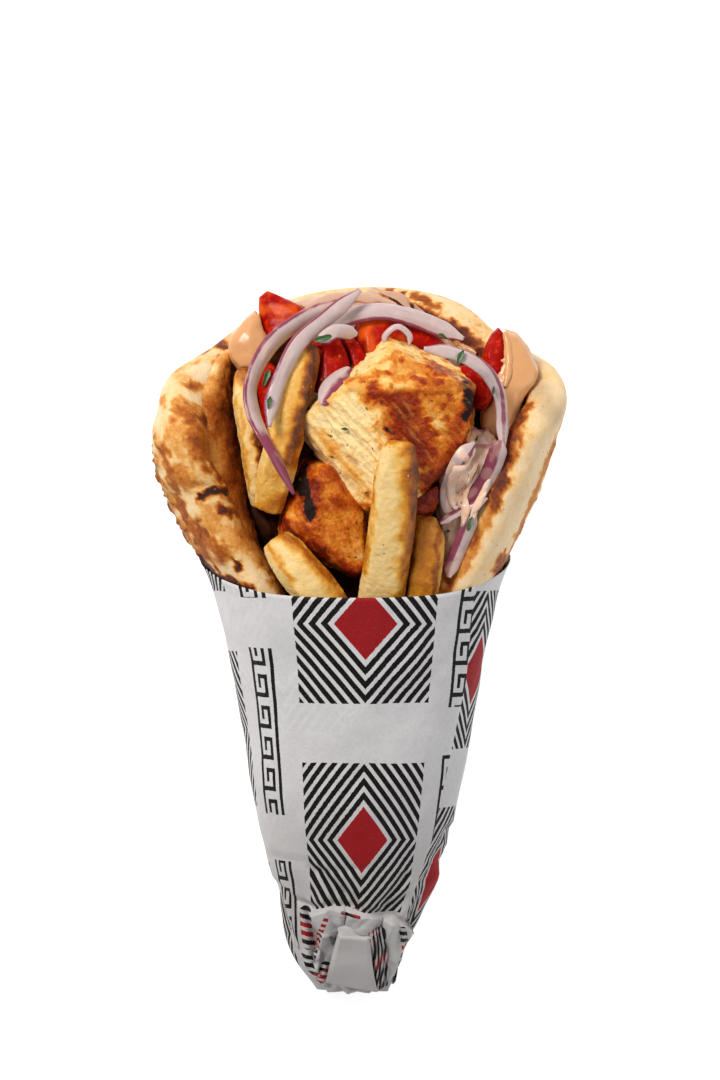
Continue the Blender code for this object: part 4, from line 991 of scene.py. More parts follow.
def paper_look():
    look = PrintedLook("paper", roughness=0.62, specular=0.12)
    ragged = (look.noise(0.7) - 0.5) * 0.35
    u, v = look.mark("u"), look.mark("v")
    other = look.mark("other") > 0.5
    v_here = v + other * 17.0 + ragged
    ink, red = look.lozenges(u + other * 21.0 + ragged, v_here)
    plain = look.mark("plain") > 0.5
    printed = (look.mark("banded") > 0.5) * (look.math("FRACT", v_here / 1.9) < 0.55)
    patch = look.step(look.noise(8.0, 1.0), 0.57, 0.58)
    ink = look.mixed(plain, ink, printed * (1.0 - patch))
    red = look.mixed(plain, red, printed * patch)
    ghost = look.either(*look.lozenges(u * -1.0 + 40.0, v + 23.0))
    greasy = look.step(look.noise(26.0), 0.42, 0.62)
    sheet = look.mix(look.noise(9.0, 4.0), (0.57, 0.555, 0.56), (0.67, 0.655, 0.655))
    sheet = look.mix(look.step(look.noise(1.0, 5.0, 0.8), 0.42, 0.62) * 0.4, sheet, (0.50, 0.48, 0.48))
    # Painted shade darkens the lower wrap and the tail sheets
    sheet = look.mix(look.mark("low") * 0.75, sheet, (0.40, 0.375, 0.365))
    sheet = look.mix(ghost * look.mixed(greasy, 0.03, 0.17), sheet, (0.40, 0.41, 0.44))
    wear = look.step(look.noise(0.5, 4.0, 0.7), 0.30, 0.42)
    colour = look.mix(ink * look.mixed(wear, 0.9, 1.0), sheet, (0.007, 0.0055, 0.0055))
    colour = look.mix(red * look.mixed(wear, 0.92, 0.99), colour, (0.29, 0.004, 0.007))
    return look.finish(colour, (look.noise(0.5), 0.03), (look.noise(3.2), 0.12))


# --- Filling --------------------------------------------------------------------------------------

SEARED = {  # node: (line, width, strength) of browning; over 1 is char
    "chicken_big": (
        (((3.6, 39.2), (9, 37.4), (15.2, 38.6)), 4.8, 1), (((10.8, 34.4), (14.8, 33.2)), 8.6, 0.98),
        (((12, 31.6), (18.6, 24.4)), 9.4, 1), (((9.4, 30), (11, 26)), 5, 0.84),
        (((7.6, 30.8), (9, 29.2)), 2, 1.25), (((17, 28), (22, 23.5), (26, 27.5)), 8, 0.64),
        (((20, 38.8), (28.7, 34.4)), 8, 0.58), (((13, 47.6), (24, 46)), 4, 0.36),
        (((27.4, 33), (26, 25), (20, 17)), 6.5, 0.76), (((29.4, 42.4), (31, 38.8), (29.2, 33.6)), 3.2, 1.5),
        (((19, 15.8), (23.8, 20.5)), 5, 0.8), (((17.7, 50.5), (24.6, 45.9), (28.4, 42.3)), 1.4, 0.62),
        (((-3, 44), (6, 45.6), (14, 43.8), (24, 41.8)), 2.2, 0.4), (((-11, 30), (-3, 20), (3, 12)), 3, 0.3),
        (((1, 9), (10, 9)), 3, 0.5),
    ),
    "chicken_left": (
        (((-16, 18.6), (-14.8, 12), (-14, 7.2)), 3.6, 1.8), (((-19, 12), (-15, 20)), 4, 1.2),
        (((-21.5, 6), (-16, -0.5), (-9, -4)), 4, 1.05), (((-14, 4), (-2, 4)), 12, 0.5),
        (((-12.4, 15.6), (-11.2, 10.6)), 3.4, 0.96), (((-6, 18), (2, 14)), 6, 0.4),
        (((-15, 3), (-6, -5)), 4, 0.7), (((-6, -5), (1, -12)), 5, 0.75),
    ),
    "chicken_right": (
        (((6, 20), (20, 20)), 8, 0.8), (((10, 10), (20, 12)), 9, 0.86), (((19, 2), (22.4, 20)), 6, 0.96),
    ),
}
FIBRES = {  # node: (direction below a line, direction above it, the line)
    "chicken_big": (-48, -6, ((-16, 35.5), (-9, 38.6), (3, 40), (18, 39), (34, 40.5))),
    "chicken_left": (-62, -50, ((-30, 8), (10, 8))),
    "chicken_right": (-70, -30, ((0, 10), (30, 10))),
}
FRY_MARKS = {  # node: (line, width, strength) of deeper frying
    "fry_front": (
        (((15.2, 25), (16, 10), (14.8, -15)), 7, 0.92), (((6, 27.2), (15, 26)), 2.6, 0.6),
        (((3.6, 22), (1.2, -8)), 2.6, 0.62),
    ),
    "fry_low_left": (
        (((-24, 3), (-15, -3), (-7, -12)), 3.6, 0.75), (((-25, -2), (-18, -12)), 1.6, 0.5),
        (((-9, -8), (-5, -16)), 5, 0.5),
    ),
    "fry_low_right": (
        (((19, 7), (17.5, -14)), 12, 0.62), (((22, 4), (20.5, -14)), 2.4, 0.85),
        (((14, 4), (13, -14)), 2.2, 0.85),
    ),
    "fry_left": (
        (((-14, 50), (-18, 34), (-25, 10)), 9, 0.36), (((-12.4, 54), (-14.2, 38), (-19.2, 22)), 4.8, 0.98),
        (((-12.8, 55.5), (-11.8, 48), (-14, 36)), 5.6, 0.95), (((-12.6, 44), (-18, 22)), 4.2, 0.84),
        (((-22, 11), (-27, 7)), 6, 0.7), (((-20, 40), (-27, 14)), 1.4, 0.4),
    ),
    "fry_far_left": (
        (((-34.6, 50), (-33, 46)), 5, 0.75), (((-30.6, 45), (-29, 34), (-27.4, 20)), 2, 1),
        (((-34, 40), (-31, 14)), 1.4, 0.4),
    ),
}
FRY_ENDS = {  # node: (x, y) of its rounded end
    "fry_front": (11, 26.5), "fry_low_left": (-23.5, 0.5), "fry_low_right": (18.6, 6.5),
    "fry_left": (-14.4, 54.5), "fry_far_left": (-33.2, 48.5),
}
WET_STREAKS = (  # (line, width) of purple strips under the thin sauce at the lower right
    (((27.6, 26.4), (33, 26), (39.6, 26.6)), 0.45), (((30.6, 30.2), (35.4, 29.8)), 0.4),
    (((27.2, 1.6), (26, -3.2), (24, -9.6)), 1), (((21.6, 3.6), (26.6, 6.6)), 0.6),
)
CHUNKS = {  # node: (middle, ((point of a facet, its normal), ...))
    "chicken_big": ((9, 28, 52), (
        ((3, 40, 66.8), (-0.42, -0.3, 0.857)), ((3, 40, 66.8), (0.16, -0.22, 0.96)),
        ((3, 40, 66.8), (0.04, 0.5, 0.865)), ((-3.9, 43.8, 56), (-0.6, 0.76, 0.25)),
        ((20, 48.6, 56), (0.4, 0.88, 0.25)), ((31.6, 38, 54), (1, -0.12, 0.1)),
        ((21.5, 16.8, 54), (0.72, -0.69, 0.1)), ((-8, 20.2, 52), (-0.81, -0.58, 0.15)),
        ((5, 8.2, 52), (0.1, -1, 0.1)), ((30, 44, 60), (0.75, 0.55, 0.37)), ((9, 28, 41), (0, 0, -1)),
    )),
    "chicken_left": ((-10, 6, 46), (
        ((-9, 8, 55.4), (0.04, -0.16, 0.98)), ((-15, 12, 54.6), (-0.66, 0.3, 0.69)),
        ((-14, 0, 53.6), (-0.38, -0.62, 0.68)), ((-1.5, 12, 54.4), (0.55, 0.3, 0.78)),
        ((-21.8, 6, 46), (-1, 0.1, 0.1)), ((-18.6, 15, 46), (-0.9, 0.43, 0.1)),
        ((-10, 21.8, 46), (0, 1, 0.1)), ((-1.2, 14, 46), (0.84, 0.54, 0.1)), ((2.2, 0, 46), (1, 0, 0.1)),
        ((0, -9.6, 46), (0.6, -0.8, 0.1)), ((-11, -5, 46), (-0.48, -0.87, 0.1)), ((-10, 6, 35), (0, 0, -1)),
    )),
}
CHICKEN_BASE = {  # browning all over
    "chicken_big": 0.06, "chicken_left": 0.35, "chicken_right": 0.3,
}
CHUNK_GRID = 74
CHUNK_EASE = 1.6
CHICKEN_FINE = (0.45, 3)  # voxel and rounds of easing
FRY_FINE = (0.4, 5)
TOMATO_FINE = (0.4, 4)
SAUCE_FINE = (0.5, 10)
CORE_FINE = (1.2, 3)
FRY_END_REACH = (9.0, 3.15)
PALE_TOMATOES = ("tomato_back", "tomato_back_left")


def bulge(mesh, points, rounds):
    """How far each point stands out of the shape around it, in millimetres."""
    edges = np.empty(len(mesh.edges) * 2, np.int64)
    mesh.edges.foreach_get("vertices", edges)
    one, two = edges[0::2], edges[1::2]
    number = np.bincount(edges, minlength=len(points))[:, None]
    eased = points.copy()
    for _ in range(rounds):
        total = np.stack([
            np.bincount(one, column[two], len(points)) + np.bincount(two, column[one], len(points))
            for column in eased.T
        ], axis=1)
        eased = 0.4 * eased + 0.6 * total / np.maximum(number, 1)
    return np.sum((points - eased) * normals_of(mesh), axis=1)


def painted(points, strokes):
    """The strongest of some strokes at each point, with edges made uneven."""
    moved = points.copy()
    for axis, seed in ((0, 61), (1, 63)):
        moved[:, axis] += 1.3 * noise(points, 3.4, seed) + 0.5 * noise(points, 1.2, seed + 1)
    strength = np.zeros(len(points))
    for line, width, most in strokes:
        strength = np.maximum(strength, most * near_line(moved, line, width))
    return strength


def make_chunk(name, middle, facets_of):
    """A closed chunk with flat facets and eased edges, as a mesh and its points."""
    steps = np.tan(np.linspace(-math.pi / 4, math.pi / 4, CHUNK_GRID + 1))
    a, b = (values.ravel() for values in np.meshgrid(steps, steps, indexing="ij"))
    one = np.ones_like(a)
    sides = [(one, a, b), (-one, b, a), (b, one, a), (a, -one, b), (a, b, one), (b, a, -one)]
    rays = unit(np.concatenate([np.stack(side, axis=1) for side in sides]))
    middle = np.array(middle)
    total = np.zeros(len(rays))
    for point, normal in facets_of:
        normal = np.array(normal) / np.linalg.norm(normal)
        facing = np.maximum(rays @ normal, 1e-3)
        total += np.exp(-CHUNK_EASE * np.minimum(normal @ (np.array(point) - middle) / facing, 200.0))
    points = middle + rays * (-np.log(total) / CHUNK_EASE)[:, None]
    face = grid_faces(CHUNK_GRID + 1, CHUNK_GRID + 1, closed=False)
    faces = np.concatenate([face + k * len(a) for k in range(len(sides))])
    mesh = bpy.data.meshes.new(name)
    mesh.from_pydata(((points + LAYOUT_SHIFT) * METRES).tolist(), [], faces.tolist())
    weld(mesh)
    return mesh, layout_points(mesh)


def cover(node, slot, name, mesh, points, relief, marks=None):
    """Lifts a mesh's points by a relief, and lets it stand for its node."""
    move_points(mesh, points + normals_of(mesh) * relief[:, None])
    remember(points)
    stand_for(finish_mesh(name, mesh, LOOKS[slot], marks), slot, node)


def make_chicken(node):
    if node in CHUNKS:
        mesh, points = make_chunk(node, *CHUNKS[node])
    else:
        mesh, points = fine_copy(node, *CHICKEN_FINE)
    out = bulge(mesh, points, 30)
    low_turn, high_turn, line = FIBRES[node]
    top = smooth(above_line(points, line), -1.2, 1.2)
    low, high = turned(points, low_turn), turned(points, high_turn)
    fibres = (1 - top) * layered(low, (9.0, 1.5, 3.0), 71) + top * layered(high, (10.0, 2.2, 3.2), 73)
    sear = painted(points, SEARED[node])
    rough = layered(points, 5.0, 75, 4)
    crags = np.abs(layered(points, 3.4, 77))
    seared = smooth(sear, 0.2, 0.7)
    relief = 0.5 * fibres * (1 - 0.6 * seared) + 0.4 * rough - 0.16 * crags * smooth(sear, 0.3, 0.9)
    if node == "chicken_big":
        layer = (high[:, 1] + 1.6 * noise(points, 9.0, 78)) / 2.9
        relief += top * (normals_of(mesh)[:, 2] > 0.4) * (0.75 * (layer % 1.0) - 0.4)
    mottled = 0.28 * smooth(layered(points, 2.8, 79), 0.12, 0.5)
    mottled *= 0.25 + 0.75 * smooth(points[:, 0], 0.0, 8.0) * (sear < 0.75)
    base = CHICKEN_BASE[node] * (1 - seared) * (0.4 + 0.6 * top)
    browned = sear + mottled + base + 0.1 * rough + 0.07 * fibres + 0.28 * np.clip(out, -0.3, 0.6)
    most = 0.83 + 0.1 * rough + 0.6 * smooth(sear, 1.02, 1.2)
    marks = {"sear": np.minimum(browned - 0.07 * (1 - top), most), "fibre": fibres}
    cover(node, "chicken", "grilled_" + node, mesh, points, relief, marks)


def make_fry(node):
    mesh, points = fine_copy(node, *FRY_FINE)
    eased = points - normals_of(mesh) * np.clip(bulge(mesh, points, 90), -0.5, 3.0)[:, None] * 1.25
    from_end = np.hypot(*(points[:, :2] - FRY_ENDS[node]).T)
    points = points + (eased - points) * smooth(from_end, *FRY_END_REACH)[:, None]
    move_points(mesh, points)
    edge = smooth(bulge(mesh, points, 24), 0.12, 0.55)
    relief = 0.22 * layered(points, 5.0, 81) + 0.1 * layered(points, 1.3, 83, 2)
    brown = np.maximum(painted(points, FRY_MARKS[node]), 0.55 * edge) + 0.12 * layered(points, 4.0, 85)
    cover(node, "fry", "fried_" + node, mesh, points, relief, {"brown": brown})


def make_tomato(node):
    mesh, points = fine_copy(node, *TOMATO_FINE)
    pale = smooth(layered(points, 7.0, 93, 2), -0.1, 0.6) * (node in PALE_TOMATOES)
    cover(node, "tomato", "cut_" + node, mesh, points, 0.2 * layered(points, 5.0, 91, 2), {"pale": pale})


def make_sauce(node):
    mesh, points = fine_copy(node, *SAUCE_FINE)
    relief = 0.5 * noise(points, 8.0, 95) + 0.2 * noise(points, 3.0, 97)
    full = np.ones(len(points))
    marks = {"shaded": 0.8 * full * (node == "sauce_back")}
    if node == "sauce_low_right":
        streaks = 0.0 * full
        for line, width in WET_STREAKS:
            streaks = np.maximum(streaks, near_line(points, line, width * 1.6))
        relief += 0.5 + 0.5 * streaks + 0.6 * layered(turned(points, 68.0), (9.0, 2.0, 3.0), 99, 2)
        marks.update(purple=streaks, mixed=full)
    cover(node, "sauce", "glossy_" + node, mesh, points, relief, marks)


def make_core(node):
    mesh, points = fine_copy(node, *CORE_FINE)
    # The hidden filling, coloured dark as painted shade in the gaps between the pieces
    cover(node, "filling", "packed_filling_in_painted_shade", mesh, points, 0.8 * layered(points, 5.0, 101))


SMEARS = {  # name: (route, half width, mixed, shaded) of thin sauce on what lies below it
    "smear_back": (((-15.6, 66.4), (-8, 69), (0, 70.2), (9, 69.6), (14.4, 67.6), (20, 64)), 2.6, 0, 0.85),
    "smear_right": (((18.4, 59.6), (23.6, 57), (29, 54.4), (34.4, 52.4)), 2.8, 0, 0.2),
    "smear_beside_tomato": (((40.6, 59.6), (41.5, 55.6), (41.9, 51), (41.4, 46), (40.4, 42)), 1.3, 0, 0),
    "smear_low_left": (((31.6, 25.6), (28.4, 21.6), (26.4, 16.4), (25.6, 11.6), (27, 8.4)), 2, 1, 0),
    "smear_low_middle": (((33, 22), (30.6, 16.6), (28.8, 12), (29.4, 8), (28.6, 3.4)), 1.5, 1, 0),
    "smear_low_right": (((36.2, 17), (34.2, 12.6), (32.2, 8.6), (30.6, 4)), 1.2, 1, 0),
}
SMEAR_ROWS, SMEAR_COLUMNS = 90, 25
SMEAR_RISE = 1.3
SMEAR_SINK = 0.7
SMEAR_HEIGHT = 2.0
SMEAR_STEEP = 1.5
SMEAR_EASE = 12


def make_smear(name, seed):
    """A thin smear that follows what lies below it, and stops where that falls away."""
    route, half, mixed, shaded = SMEARS[name]
    flat = spline(route, SMEAR_ROWS)[0]
    ahead = unit(np.gradient(flat, axis=0))
    share = np.linspace(0.0, 1.0, SMEAR_ROWS)
    across = np.tile(np.linspace(-1.0, 1.0, SMEAR_COLUMNS), SMEAR_ROWS)
    middle = np.repeat(flat, SMEAR_COLUMNS, axis=0)
    side = np.repeat(np.stack([-ahead[:, 1], ahead[:, 0]], axis=1), SMEAR_COLUMNS, axis=0)
    spots = np.column_stack([middle, np.zeros(len(across))]) + across[:, None] * half
    ragged = layered(spots, 4.6, 170 + seed, 2)
    reach = np.repeat(half * np.sin(np.pi * share) ** 0.4, SMEAR_COLUMNS) * (1 + 0.34 * ragged)
    place = middle + side * (reach * across)[:, None]
    cloud = np.concatenate(TOPS)
    around = (cloud[:, :2] > place.min(axis=0) - 2.0) & (cloud[:, :2] < place.max(axis=0) + 2.0)
    cloud = cloud[np.all(around, axis=1)]
    height = np.zeros(len(place))
    for k, (x, y) in enumerate(place):
        near = (cloud[:, 0] - x) ** 2 + (cloud[:, 1] - y) ** 2
        height[k] = cloud[near < max(1.0, near.min() + 0.1), 2].max()
    height = np.minimum(height, np.median(height) + SMEAR_HEIGHT).reshape(SMEAR_ROWS, SMEAR_COLUMNS)
    for _ in range(SMEAR_EASE):
        padded = np.pad(height, 1, mode="edge")
        beside = padded[:-2, 1:-1] + padded[2:, 1:-1] + padded[1:-1, :-2] + padded[1:-1, 2:]
        height = 0.5 * height + 0.125 * beside
    ends = np.repeat(smooth(share, 0.0, 0.06) * smooth(share, 1.0, 0.94), SMEAR_COLUMNS)
    deep = 0.65 if mixed else 1.0
    rise = deep * (SMEAR_RISE * np.sqrt(np.clip(1 - across**2, 0.0, 1.0)) * ends - SMEAR_SINK)
    points = np.column_stack([place, height.ravel() + rise])
    points[:, 2] += 0.16 * noise(points, 3.0, 180 + seed)
    remember(points)
    faces = grid_faces(SMEAR_ROWS, SMEAR_COLUMNS, closed=False)
    drop = np.ptp(points[faces, 2], axis=1)
    wide = np.linalg.norm(points[faces[:, 0], :2] - points[faces[:, 2], :2], axis=1)
    used, faces = np.unique(faces[drop < SMEAR_STEEP * wide], return_inverse=True)
    marks = {"mixed": np.full(len(used), mixed), "shaded": np.full(len(used), shaded)}
    stand_for(mesh_object(name, points[used], faces.reshape(-1, 4).tolist(), LOOKS["sauce"], marks), "sauce")


# Node: (route, width, thickness, turns at its ends, (middle at its start and end, half) of the purple
# across, coated share)
ONIONS = {
    "onion_back_arc": (
        ((-9.5, 59), (-2.8, 62.9), (5.6, 64.4), (13.9, 63), (22.3, 60), (29.4, 56.6)),
        5.2, 1.2, (20, 10), (1, 1, 0.42), 0.1,
    ),
    "onion_outer_arc": (
        ((-3.1, 67.6), (-15.9, 61), (-24.6, 53.6), (-29.4, 43.3), (-29, 36.2), (-26.6, 30.2), (-22, 21.8),
         (-17.8, 12.6)),
        5.2, 1.1, (15, 70), (1, 1, 0.4), 0.35,
    ),
    "onion_inner_arc": (
        ((0.2, 69.8), (-4.2, 65.8), (-9.7, 60.9), (-16.4, 54.5), (-20.8, 46), (-23.6, 38), (-24.6, 31)),
        4.6, 1.1, (10, 30), (1, 1, 0.34), 0.05,
    ),
    "onion_right_arc": (
        ((17.6, 52.2), (24.5, 51.6), (30.4, 49.4), (35.6, 45.6), (38.9, 40), (39.8, 33.6), (39.6, 25)),
        4.2, 1.1, (15, 40), (-1, 0.2, 0.5), 0.3,
    ),
    "onion_ring": (
        ((7.6, 54.4), (7.4, 57), (10.6, 59.4), (13.8, 57.2), (13.8, 54.4)),
        2, 1.4, (0, 0), (1, 1, 0.5), 0,
    ),
    "onion_petal": (
        ((-10.2, 37.2), (-8.4, 40.2), (-5.8, 43.6), (-2.6, 47.8)),
        8, 0.9, (24, 10), (0.9, 0.9, 1.5), 0,
    ),
    "onion_white": (
        ((-11, 54.6), (-6.6, 57.8), (-0.6, 57.4)),
        4.2, 1, (10, 0), (1, 1, 0.25), 0.15,
    ),
    "onion_low_left": (
        ((31.6, 26.6), (28.2, 23), (25.8, 18), (24.4, 12.6), (25.4, 8.2), (28, 6.8)),
        4.2, 0.6, (6, 14), (-0.8, -0.8, 0.6), 0.75,
    ),
    "onion_low_right": (
        ((39, 27.4), (38.2, 24), (36.6, 19.4), (34.2, 14.8), (31.2, 11), (29.6, 9.6)),
        5.2, 0.6, (14, 8), (0.4, 0.4, 0.9), 0.22,
    ),
    "onion_low_tail": (
        ((31.8, 7.6), (30.2, 3.4), (28.2, -1.6), (25.9, -7), (24.8, -10.4)),
        4.4, 0.6, (10, 20), (1, 1, 1.1), 0.4,
    ),
    "onion_low_cross": (
        ((22.4, 4.6), (25.8, 6.8), (29.6, 8.8), (33, 10.4), (35.4, 11.6)),
        2.3, 0.5, (6, 16), (-0.9, -0.9, 1.2), 0.4,
    ),
}
ONION_SINK = {  # how far strips are sunk
    "onion_low_left": 1, "onion_low_right": 1, "onion_low_tail": 1, "onion_low_cross": 1.5,
    "onion_petal": 2.6,
}
ONION_ROWS = 60
ONION_AROUND = 28


def onion_path(node, route):
    """The middle of a strip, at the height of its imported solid, and its length."""
    solid = layout_points(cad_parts[node].data)
    flat, length = spline(route, ONION_ROWS)
    heights = []
    for x, y in flat:
        weight = np.exp(-((solid[:, 0] - x) ** 2 + (solid[:, 1] - y) ** 2) / 9.0)
        heights.append(np.sum(weight * solid[:, 2]) / np.sum(weight))
    heights = np.convolve(np.pad(heights, 4, mode="edge"), np.ones(9) / 9, mode="valid")
    return np.column_stack([flat, heights - ONION_SINK.get(node, 0.0)]), length


def make_onion(node, seed):
    route, width, thickness, turns, (purple_start, purple_end, purple_half), coated = ONIONS[node]
    path, length = onion_path(node, route)
    ahead = unit(np.gradient(path, axis=0))
    side = unit(np.cross(ahead, (0.0, 0.0, 1.0)))
    up = np.cross(side, ahead)
    share = np.linspace(0.0, 1.0, ONION_ROWS)
    turn = np.radians(turns[0] + (turns[1] - turns[0]) * share)[:, None]
    side, up = side * np.cos(turn) + up * np.sin(turn), up * np.cos(turn) - side * np.sin(turn)
    taper = np.minimum(smooth(share, -0.02, 0.16), smooth(share, 1.02, 0.84)) * 0.72 + 0.28
    if node == "onion_petal":
        taper = 0.15 + 0.85 * np.sin(np.pi * share) ** 0.7
    points, across = [], []
    for k in range(ONION_AROUND):
        a = math.cos(2 * math.pi * (k + 0.5) / ONION_AROUND)
        over = math.sin(2 * math.pi * (k + 0.5) / ONION_AROUND)
        wave = 0.22 * np.sin(share * length / 3.1 + seed + 1.5 * a) * abs(a)
        thick = math.copysign(abs(over) ** 0.6, over) * thickness / 2
        lift = thick * (0.55 + 0.45 * taper) - 0.30 * width * 0.5 * a * a * taper + wave
        lift = lift + 0.02 * math.sin(a * 16.0) * (over > 0)
        points.append(path + side * (a * width / 2 * taper)[:, None] + up * lift[:, None])
        across.append(np.full(ONION_ROWS, a))
    points = np.stack(points, axis=1).reshape(-1, 3)
    across = np.stack(across, axis=1).ravel()
    points += 0.12 * layered(points, 2.4, 120 + seed, 2)[:, None] * np.array((0.3, 0.3, 1.0))
    last = (ONION_ROWS - 1) * ONION_AROUND
    faces = grid_faces(ONION_ROWS, ONION_AROUND).tolist()
    faces += [tuple(range(ONION_AROUND))[::-1], tuple(range(last, last + ONION_AROUND))]
    along = np.repeat(share, ONION_AROUND)
    purple_middle = purple_start + (purple_end - purple_start) * smooth(along, 0.3, 0.8)
    edge = smooth(np.abs(across - purple_middle), purple_half, 0.4 * purple_half)
    skin = smooth(np.abs(across), 0.86, 0.98)
    edge = np.maximum(edge, 0.5 * skin * smooth(layered(points, 7.0, 150 + seed, 2), -0.1, 0.3))
    twist = smooth(along, 0.66, 0.8) * (node == "onion_outer_arc") * smooth(across, -0.9, 0.0)
    patchy = smooth(layered(points, 6.0, 140 + seed, 2), -0.9, 0.1)
    marks = {
        "purple": np.maximum(edge * (0.55 + 0.45 * patchy), twist),
        "across": across * width / 2,
        "along": np.repeat(share * length, ONION_AROUND),
        "coated": coated * smooth(layered(points, 5.0, 160 + seed, 2), 0.55 - coated, 0.75 - coated),
    }
    remember(points)
    stand_for(mesh_object("sliced_" + node, points, faces, LOOKS["onion"], marks), "onion", node)


LEAVES = (  # (x, y, turn, length) of parsley leaves
    (-10, 55.6, 15, 5.6), (-26, 45.4, 70, 5.4), (-24.6, 37.6, 80, 4), (27.6, 50, 65, 4.6),
    (23.4, 57.4, -30, 3), (36.8, 41, 85, 2.6), (32.6, 28.2, 70, 1.8), (30.6, 4.4, 72, 4.6),
    (24.4, 2.4, 20, 2), (-4, 30.4, -5, 2.4), (2, 13, 30, 1.6),
)
LEAF_ROWS, LEAF_COLUMNS = 9, 5
LEAF_ABOVE = 0.35
LEAF_NEAR = 0.8
LEAF_BARE_Z = 40.0  # where nothing lies below a leaf


def make_parsley():
    """Small folded leaves with notched edges, in one piece."""
    cloud = np.concatenate(TOPS)
    points, faces = [], []
    for k, (x, y, turn, length) in enumerate(LEAVES):
        faces += (len(points) + grid_faces(LEAF_ROWS, LEAF_COLUMNS, closed=False)).tolist()
        ahead = np.array((math.cos(math.radians(turn)), math.sin(math.radians(turn)), 0.0))
        side = np.array((-ahead[1], ahead[0], 0.0))
        near = np.hypot(cloud[:, 0] - x, cloud[:, 1] - y) < LEAF_NEAR
        height = (cloud[near, 2].max() if near.any() else LEAF_BARE_Z) + LEAF_ABOVE
        for i, j in product(range(LEAF_ROWS), range(LEAF_COLUMNS)):
            s = 0.05 + 0.9 * i / (LEAF_ROWS - 1)
            t = 2 * j / (LEAF_COLUMNS - 1) - 1
            half = length * 0.21 * math.sin(math.pi * s) ** 0.7 * (0.85 + 0.2 * math.sin(9.0 * s + k))
            lift = 0.35 * abs(t) + 0.5 * math.sin(math.pi * s) * (0.4 + 0.3 * math.sin(k * 2.1)) - 0.2
            place = np.array((x, y, height)) + ahead * (s - 0.5) * length + side * t * half
            points.append(place + (0.0, 0.0, lift))
    piece = mesh_object("parsley_leaves", np.array(points), faces, LOOKS["parsley"])
    thicken(piece, -1.0)
    smoother = piece.modifiers.new("smoother", "SUBSURF")
    smoother.levels = smoother.render_levels = 1
    stand_for(piece, "onion")


def chicken_look():
    look = Look("chicken", roughness=0.42, subsurface=0.05, radius=(1.0, 0.5, 0.25), scale=0.8, specular=0.2)
    grain = look.noise(0.9, 4.0, 0.65) + look.noise(0.4, 3.0, 0.6) * 0.8
    sear = look.mark("sear") + (grain - 0.9) * 0.36
    colour = look.ramp(
        sear, (0.0, (0.95, 0.71, 0.34)), (0.2, (0.85, 0.46, 0.11)), (0.42, (0.67, 0.205, 0.012)),
        (0.62, (0.44, 0.068, 0.002)), (0.84, (0.22, 0.014, 0.0003)), (1.0, (0.012, 0.004, 0.003)),
    )
    fibre = look.step(look.mark("fibre"), -0.25, -0.75)
    colour = look.mix(fibre * 0.34, colour, (0.58, 0.24, 0.04))
    pepper, herb = (0.035, 0.018, 0.008), (0.04, 0.055, 0.008)
    colour = look.speckled(colour, pepper, 0.85, 2.3, 0.07, 0.2, 0.9)
    colour = look.speckled(colour, herb, 0.85, 3.1, 0.05, 0.2, 1.2)
    shine = look.mixed(look.step(sear, 0.2, 0.6), 0.55, 0.34)
    look.feed(look.shader, {"Roughness": look.mixed(look.step(sear, 0.86, 1.0), shine, 0.62)})
    return look.finish(colour, (look.noise(0.35), 0.13), (look.noise(1.2, 4.0), 0.42))


def fry_look():
    look = Look("fry", roughness=0.45, subsurface=0.12, radius=(1.0, 0.6, 0.2), scale=1.2, specular=0.35)
    colour = look.ramp(
        look.mark("brown") + (look.noise(0.8, 4.0, 0.7) - 0.5) * 0.3, (0.0, (0.81, 0.57, 0.24)),
        (0.22, (0.77, 0.45, 0.10)), (0.46, (0.62, 0.25, 0.014)), (0.72, (0.40, 0.11, 0.005)),
        (1.0, (0.10, 0.022, 0.004)),
    )
    pepper, salt = (0.16, 0.05, 0.01), (0.92, 0.8, 0.6)
    colour = look.speckled(colour, pepper, 0.6, 1.7, 0.12, 0.2)
    colour = look.speckled(colour, salt, 0.6, 1.1, 0.1, 0.16)
    return look.finish(colour, (look.noise(0.3), 0.08), (look.noise(1.2), 0.22))


def tomato_look():
    look = Look("tomato", roughness=0.45, coat=0.05, coat_roughness=0.05, specular=0.05)
    deep = look.mix(look.noise(5.0), (0.22, 0.001, 0.0003), (0.44, 0.004, 0.0005))
    flesh = look.mix(look.step(look.noise(1.8), 0.5, 0.7), deep, (0.54, 0.022, 0.001))
    colour = look.mix(look.mark("pale"), flesh, (0.66, 0.075, 0.003))
    colour = look.speckled(colour, (0.80, 0.36, 0.09), 0.6, 2.6, 0.10, 0.16)
    return look.finish(colour, (look.noise(0.6), 0.05), (look.noise(2.6), 0.25))


def sauce_look():
    look = Look("sauce", roughness=0.3, subsurface=0.08, radius=(1.0, 0.5, 0.3), scale=1.0, coat=0.2,
                coat_roughness=0.07, specular=0.25)
    colour = look.mix(look.noise(7.0), (0.66, 0.31, 0.12), (0.68, 0.355, 0.16))
    # Where sauce is mixed in: a cream colour, lightened further as painted light in the hollows there
    cream_and_painted_light = look.mix(look.step(look.noise(2.6, 4.0), 0.4, 0.62), (0.82, 0.52, 0.35), (0.82, 0.62, 0.50))
    colour = look.mix(look.mark("mixed"), colour, cream_and_painted_light)
    colour = look.mix(look.mark("shaded"), colour, (0.53, 0.315, 0.22))
    colour = look.mix(look.mark("purple") * 0.85, colour, (0.36, 0.06, 0.12))
    colour = look.speckled(colour, (0.45, 0.12, 0.03), 0.5, 2.4, 0.1, 0.14)
    return look.finish(colour, (look.noise(1.5), 0.1))


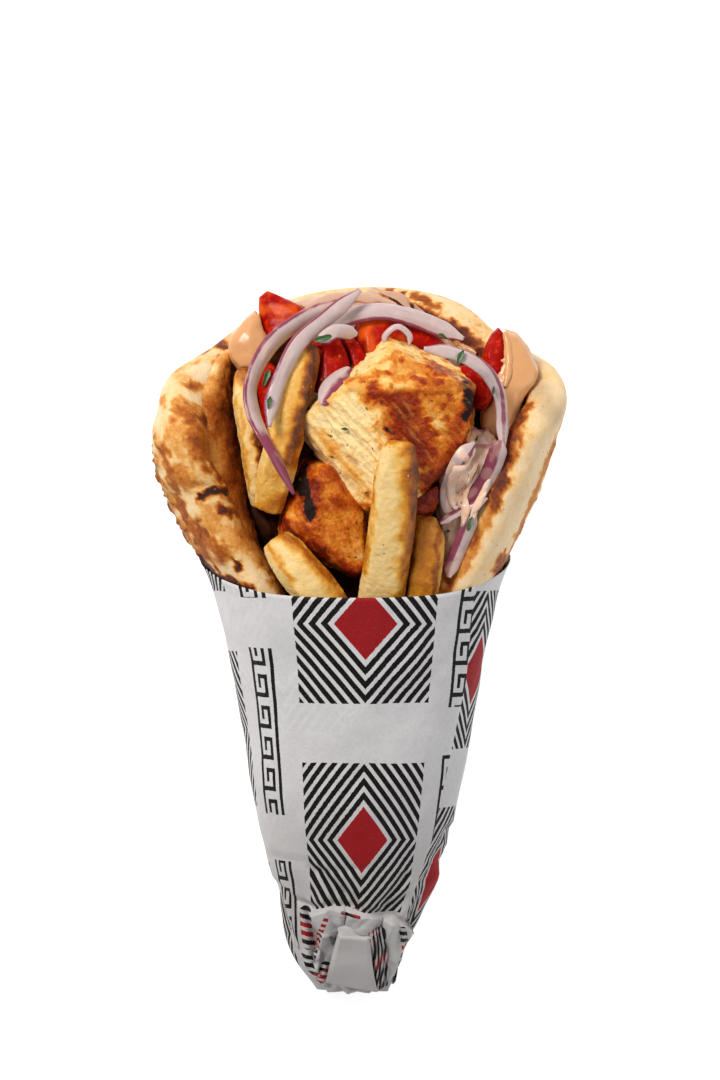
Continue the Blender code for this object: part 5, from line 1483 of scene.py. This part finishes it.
def onion_look():
    look = Look("onion", roughness=0.33, subsurface=0.12, radius=(1.0, 0.8, 0.8), scale=0.9, coat=0.14,
                coat_roughness=0.08, specular=0.3)
    place = look.value("ShaderNodeCombineXYZ", {0: look.mark("across") * 2.1, 1: look.mark("along") * 0.05})
    lines = {"Vector": place, "Scale": 1.0, "Detail": 2.0}
    lines = look.value("ShaderNodeTexNoise", lines, "Fac", noise_dimensions="2D")
    colour = look.mix(look.noise(3.0), (0.48, 0.35, 0.335), (0.64, 0.51, 0.48))
    colour = look.mix(look.step(lines, 0.5, 0.66) * 0.25, colour, (0.46, 0.27, 0.32))
    purple = look.step(look.mark("purple") + (look.noise(1.5) - 0.5) * 0.5, 0.25, 0.8)
    colour = look.mix(purple * 0.92, colour, (0.22, 0.012, 0.055))
    colour = look.mix(look.mark("coated"), colour, (0.80, 0.53, 0.38))
    return look.finish(colour, (lines, 0.05), (look.noise(0.8), 0.05))


def filling_shade_look():
    look = Look("filling", roughness=0.7, specular=0.08)
    # Near black: painted shade for the gaps between the pieces of filling
    colour = look.mix(look.noise(4.0, 4.0), (0.012, 0.003, 0.001), (0.06, 0.013, 0.002))
    return look.finish(colour, (look.noise(1.5, 4.0), 0.4))


def parsley_look():
    look = Look("parsley", roughness=0.4, subsurface=0.1, radius=(0.3, 1.0, 0.2), scale=0.4)
    colour = look.mix(look.noise(1.0), (0.018, 0.055, 0.012), (0.06, 0.13, 0.03))
    return look.finish(colour, (look.noise(0.5), 0.08))


# --- The part -------------------------------------------------------------------------------------

LOOKS = {
    "bread": bread_look(), "paper": paper_look(), "chicken": chicken_look(), "fry": fry_look(),
    "tomato": tomato_look(), "sauce": sauce_look(), "onion": onion_look(), "filling": filling_shade_look(),
    "parsley": parsley_look(),
}


make_camera()
make_studio()
make_pita()
make_paper()
for sheet in TAIL_SHEETS:
    make_tail_sheet(*sheet)
for chunk in SEARED:
    make_chicken(chunk)
make_inner_wall()
for stick in FRY_MARKS:
    make_fry(stick)
for wedge in (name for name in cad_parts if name.startswith("tomato")):
    make_tomato(wedge)
for blob in (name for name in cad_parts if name.startswith("sauce")):
    make_sauce(blob)
make_core("filling_core")
for mixed in (False, True):  # smears that are mixed with what is below lie on the onion, the others under it
    for number, smear in enumerate(SMEARS):
        if (SMEARS[smear][2] > 0.0) == mixed:
            make_smear(smear, number)
    if not mixed:
        for number, strip in enumerate(ONIONS):
            make_onion(strip, number)
make_parsley()
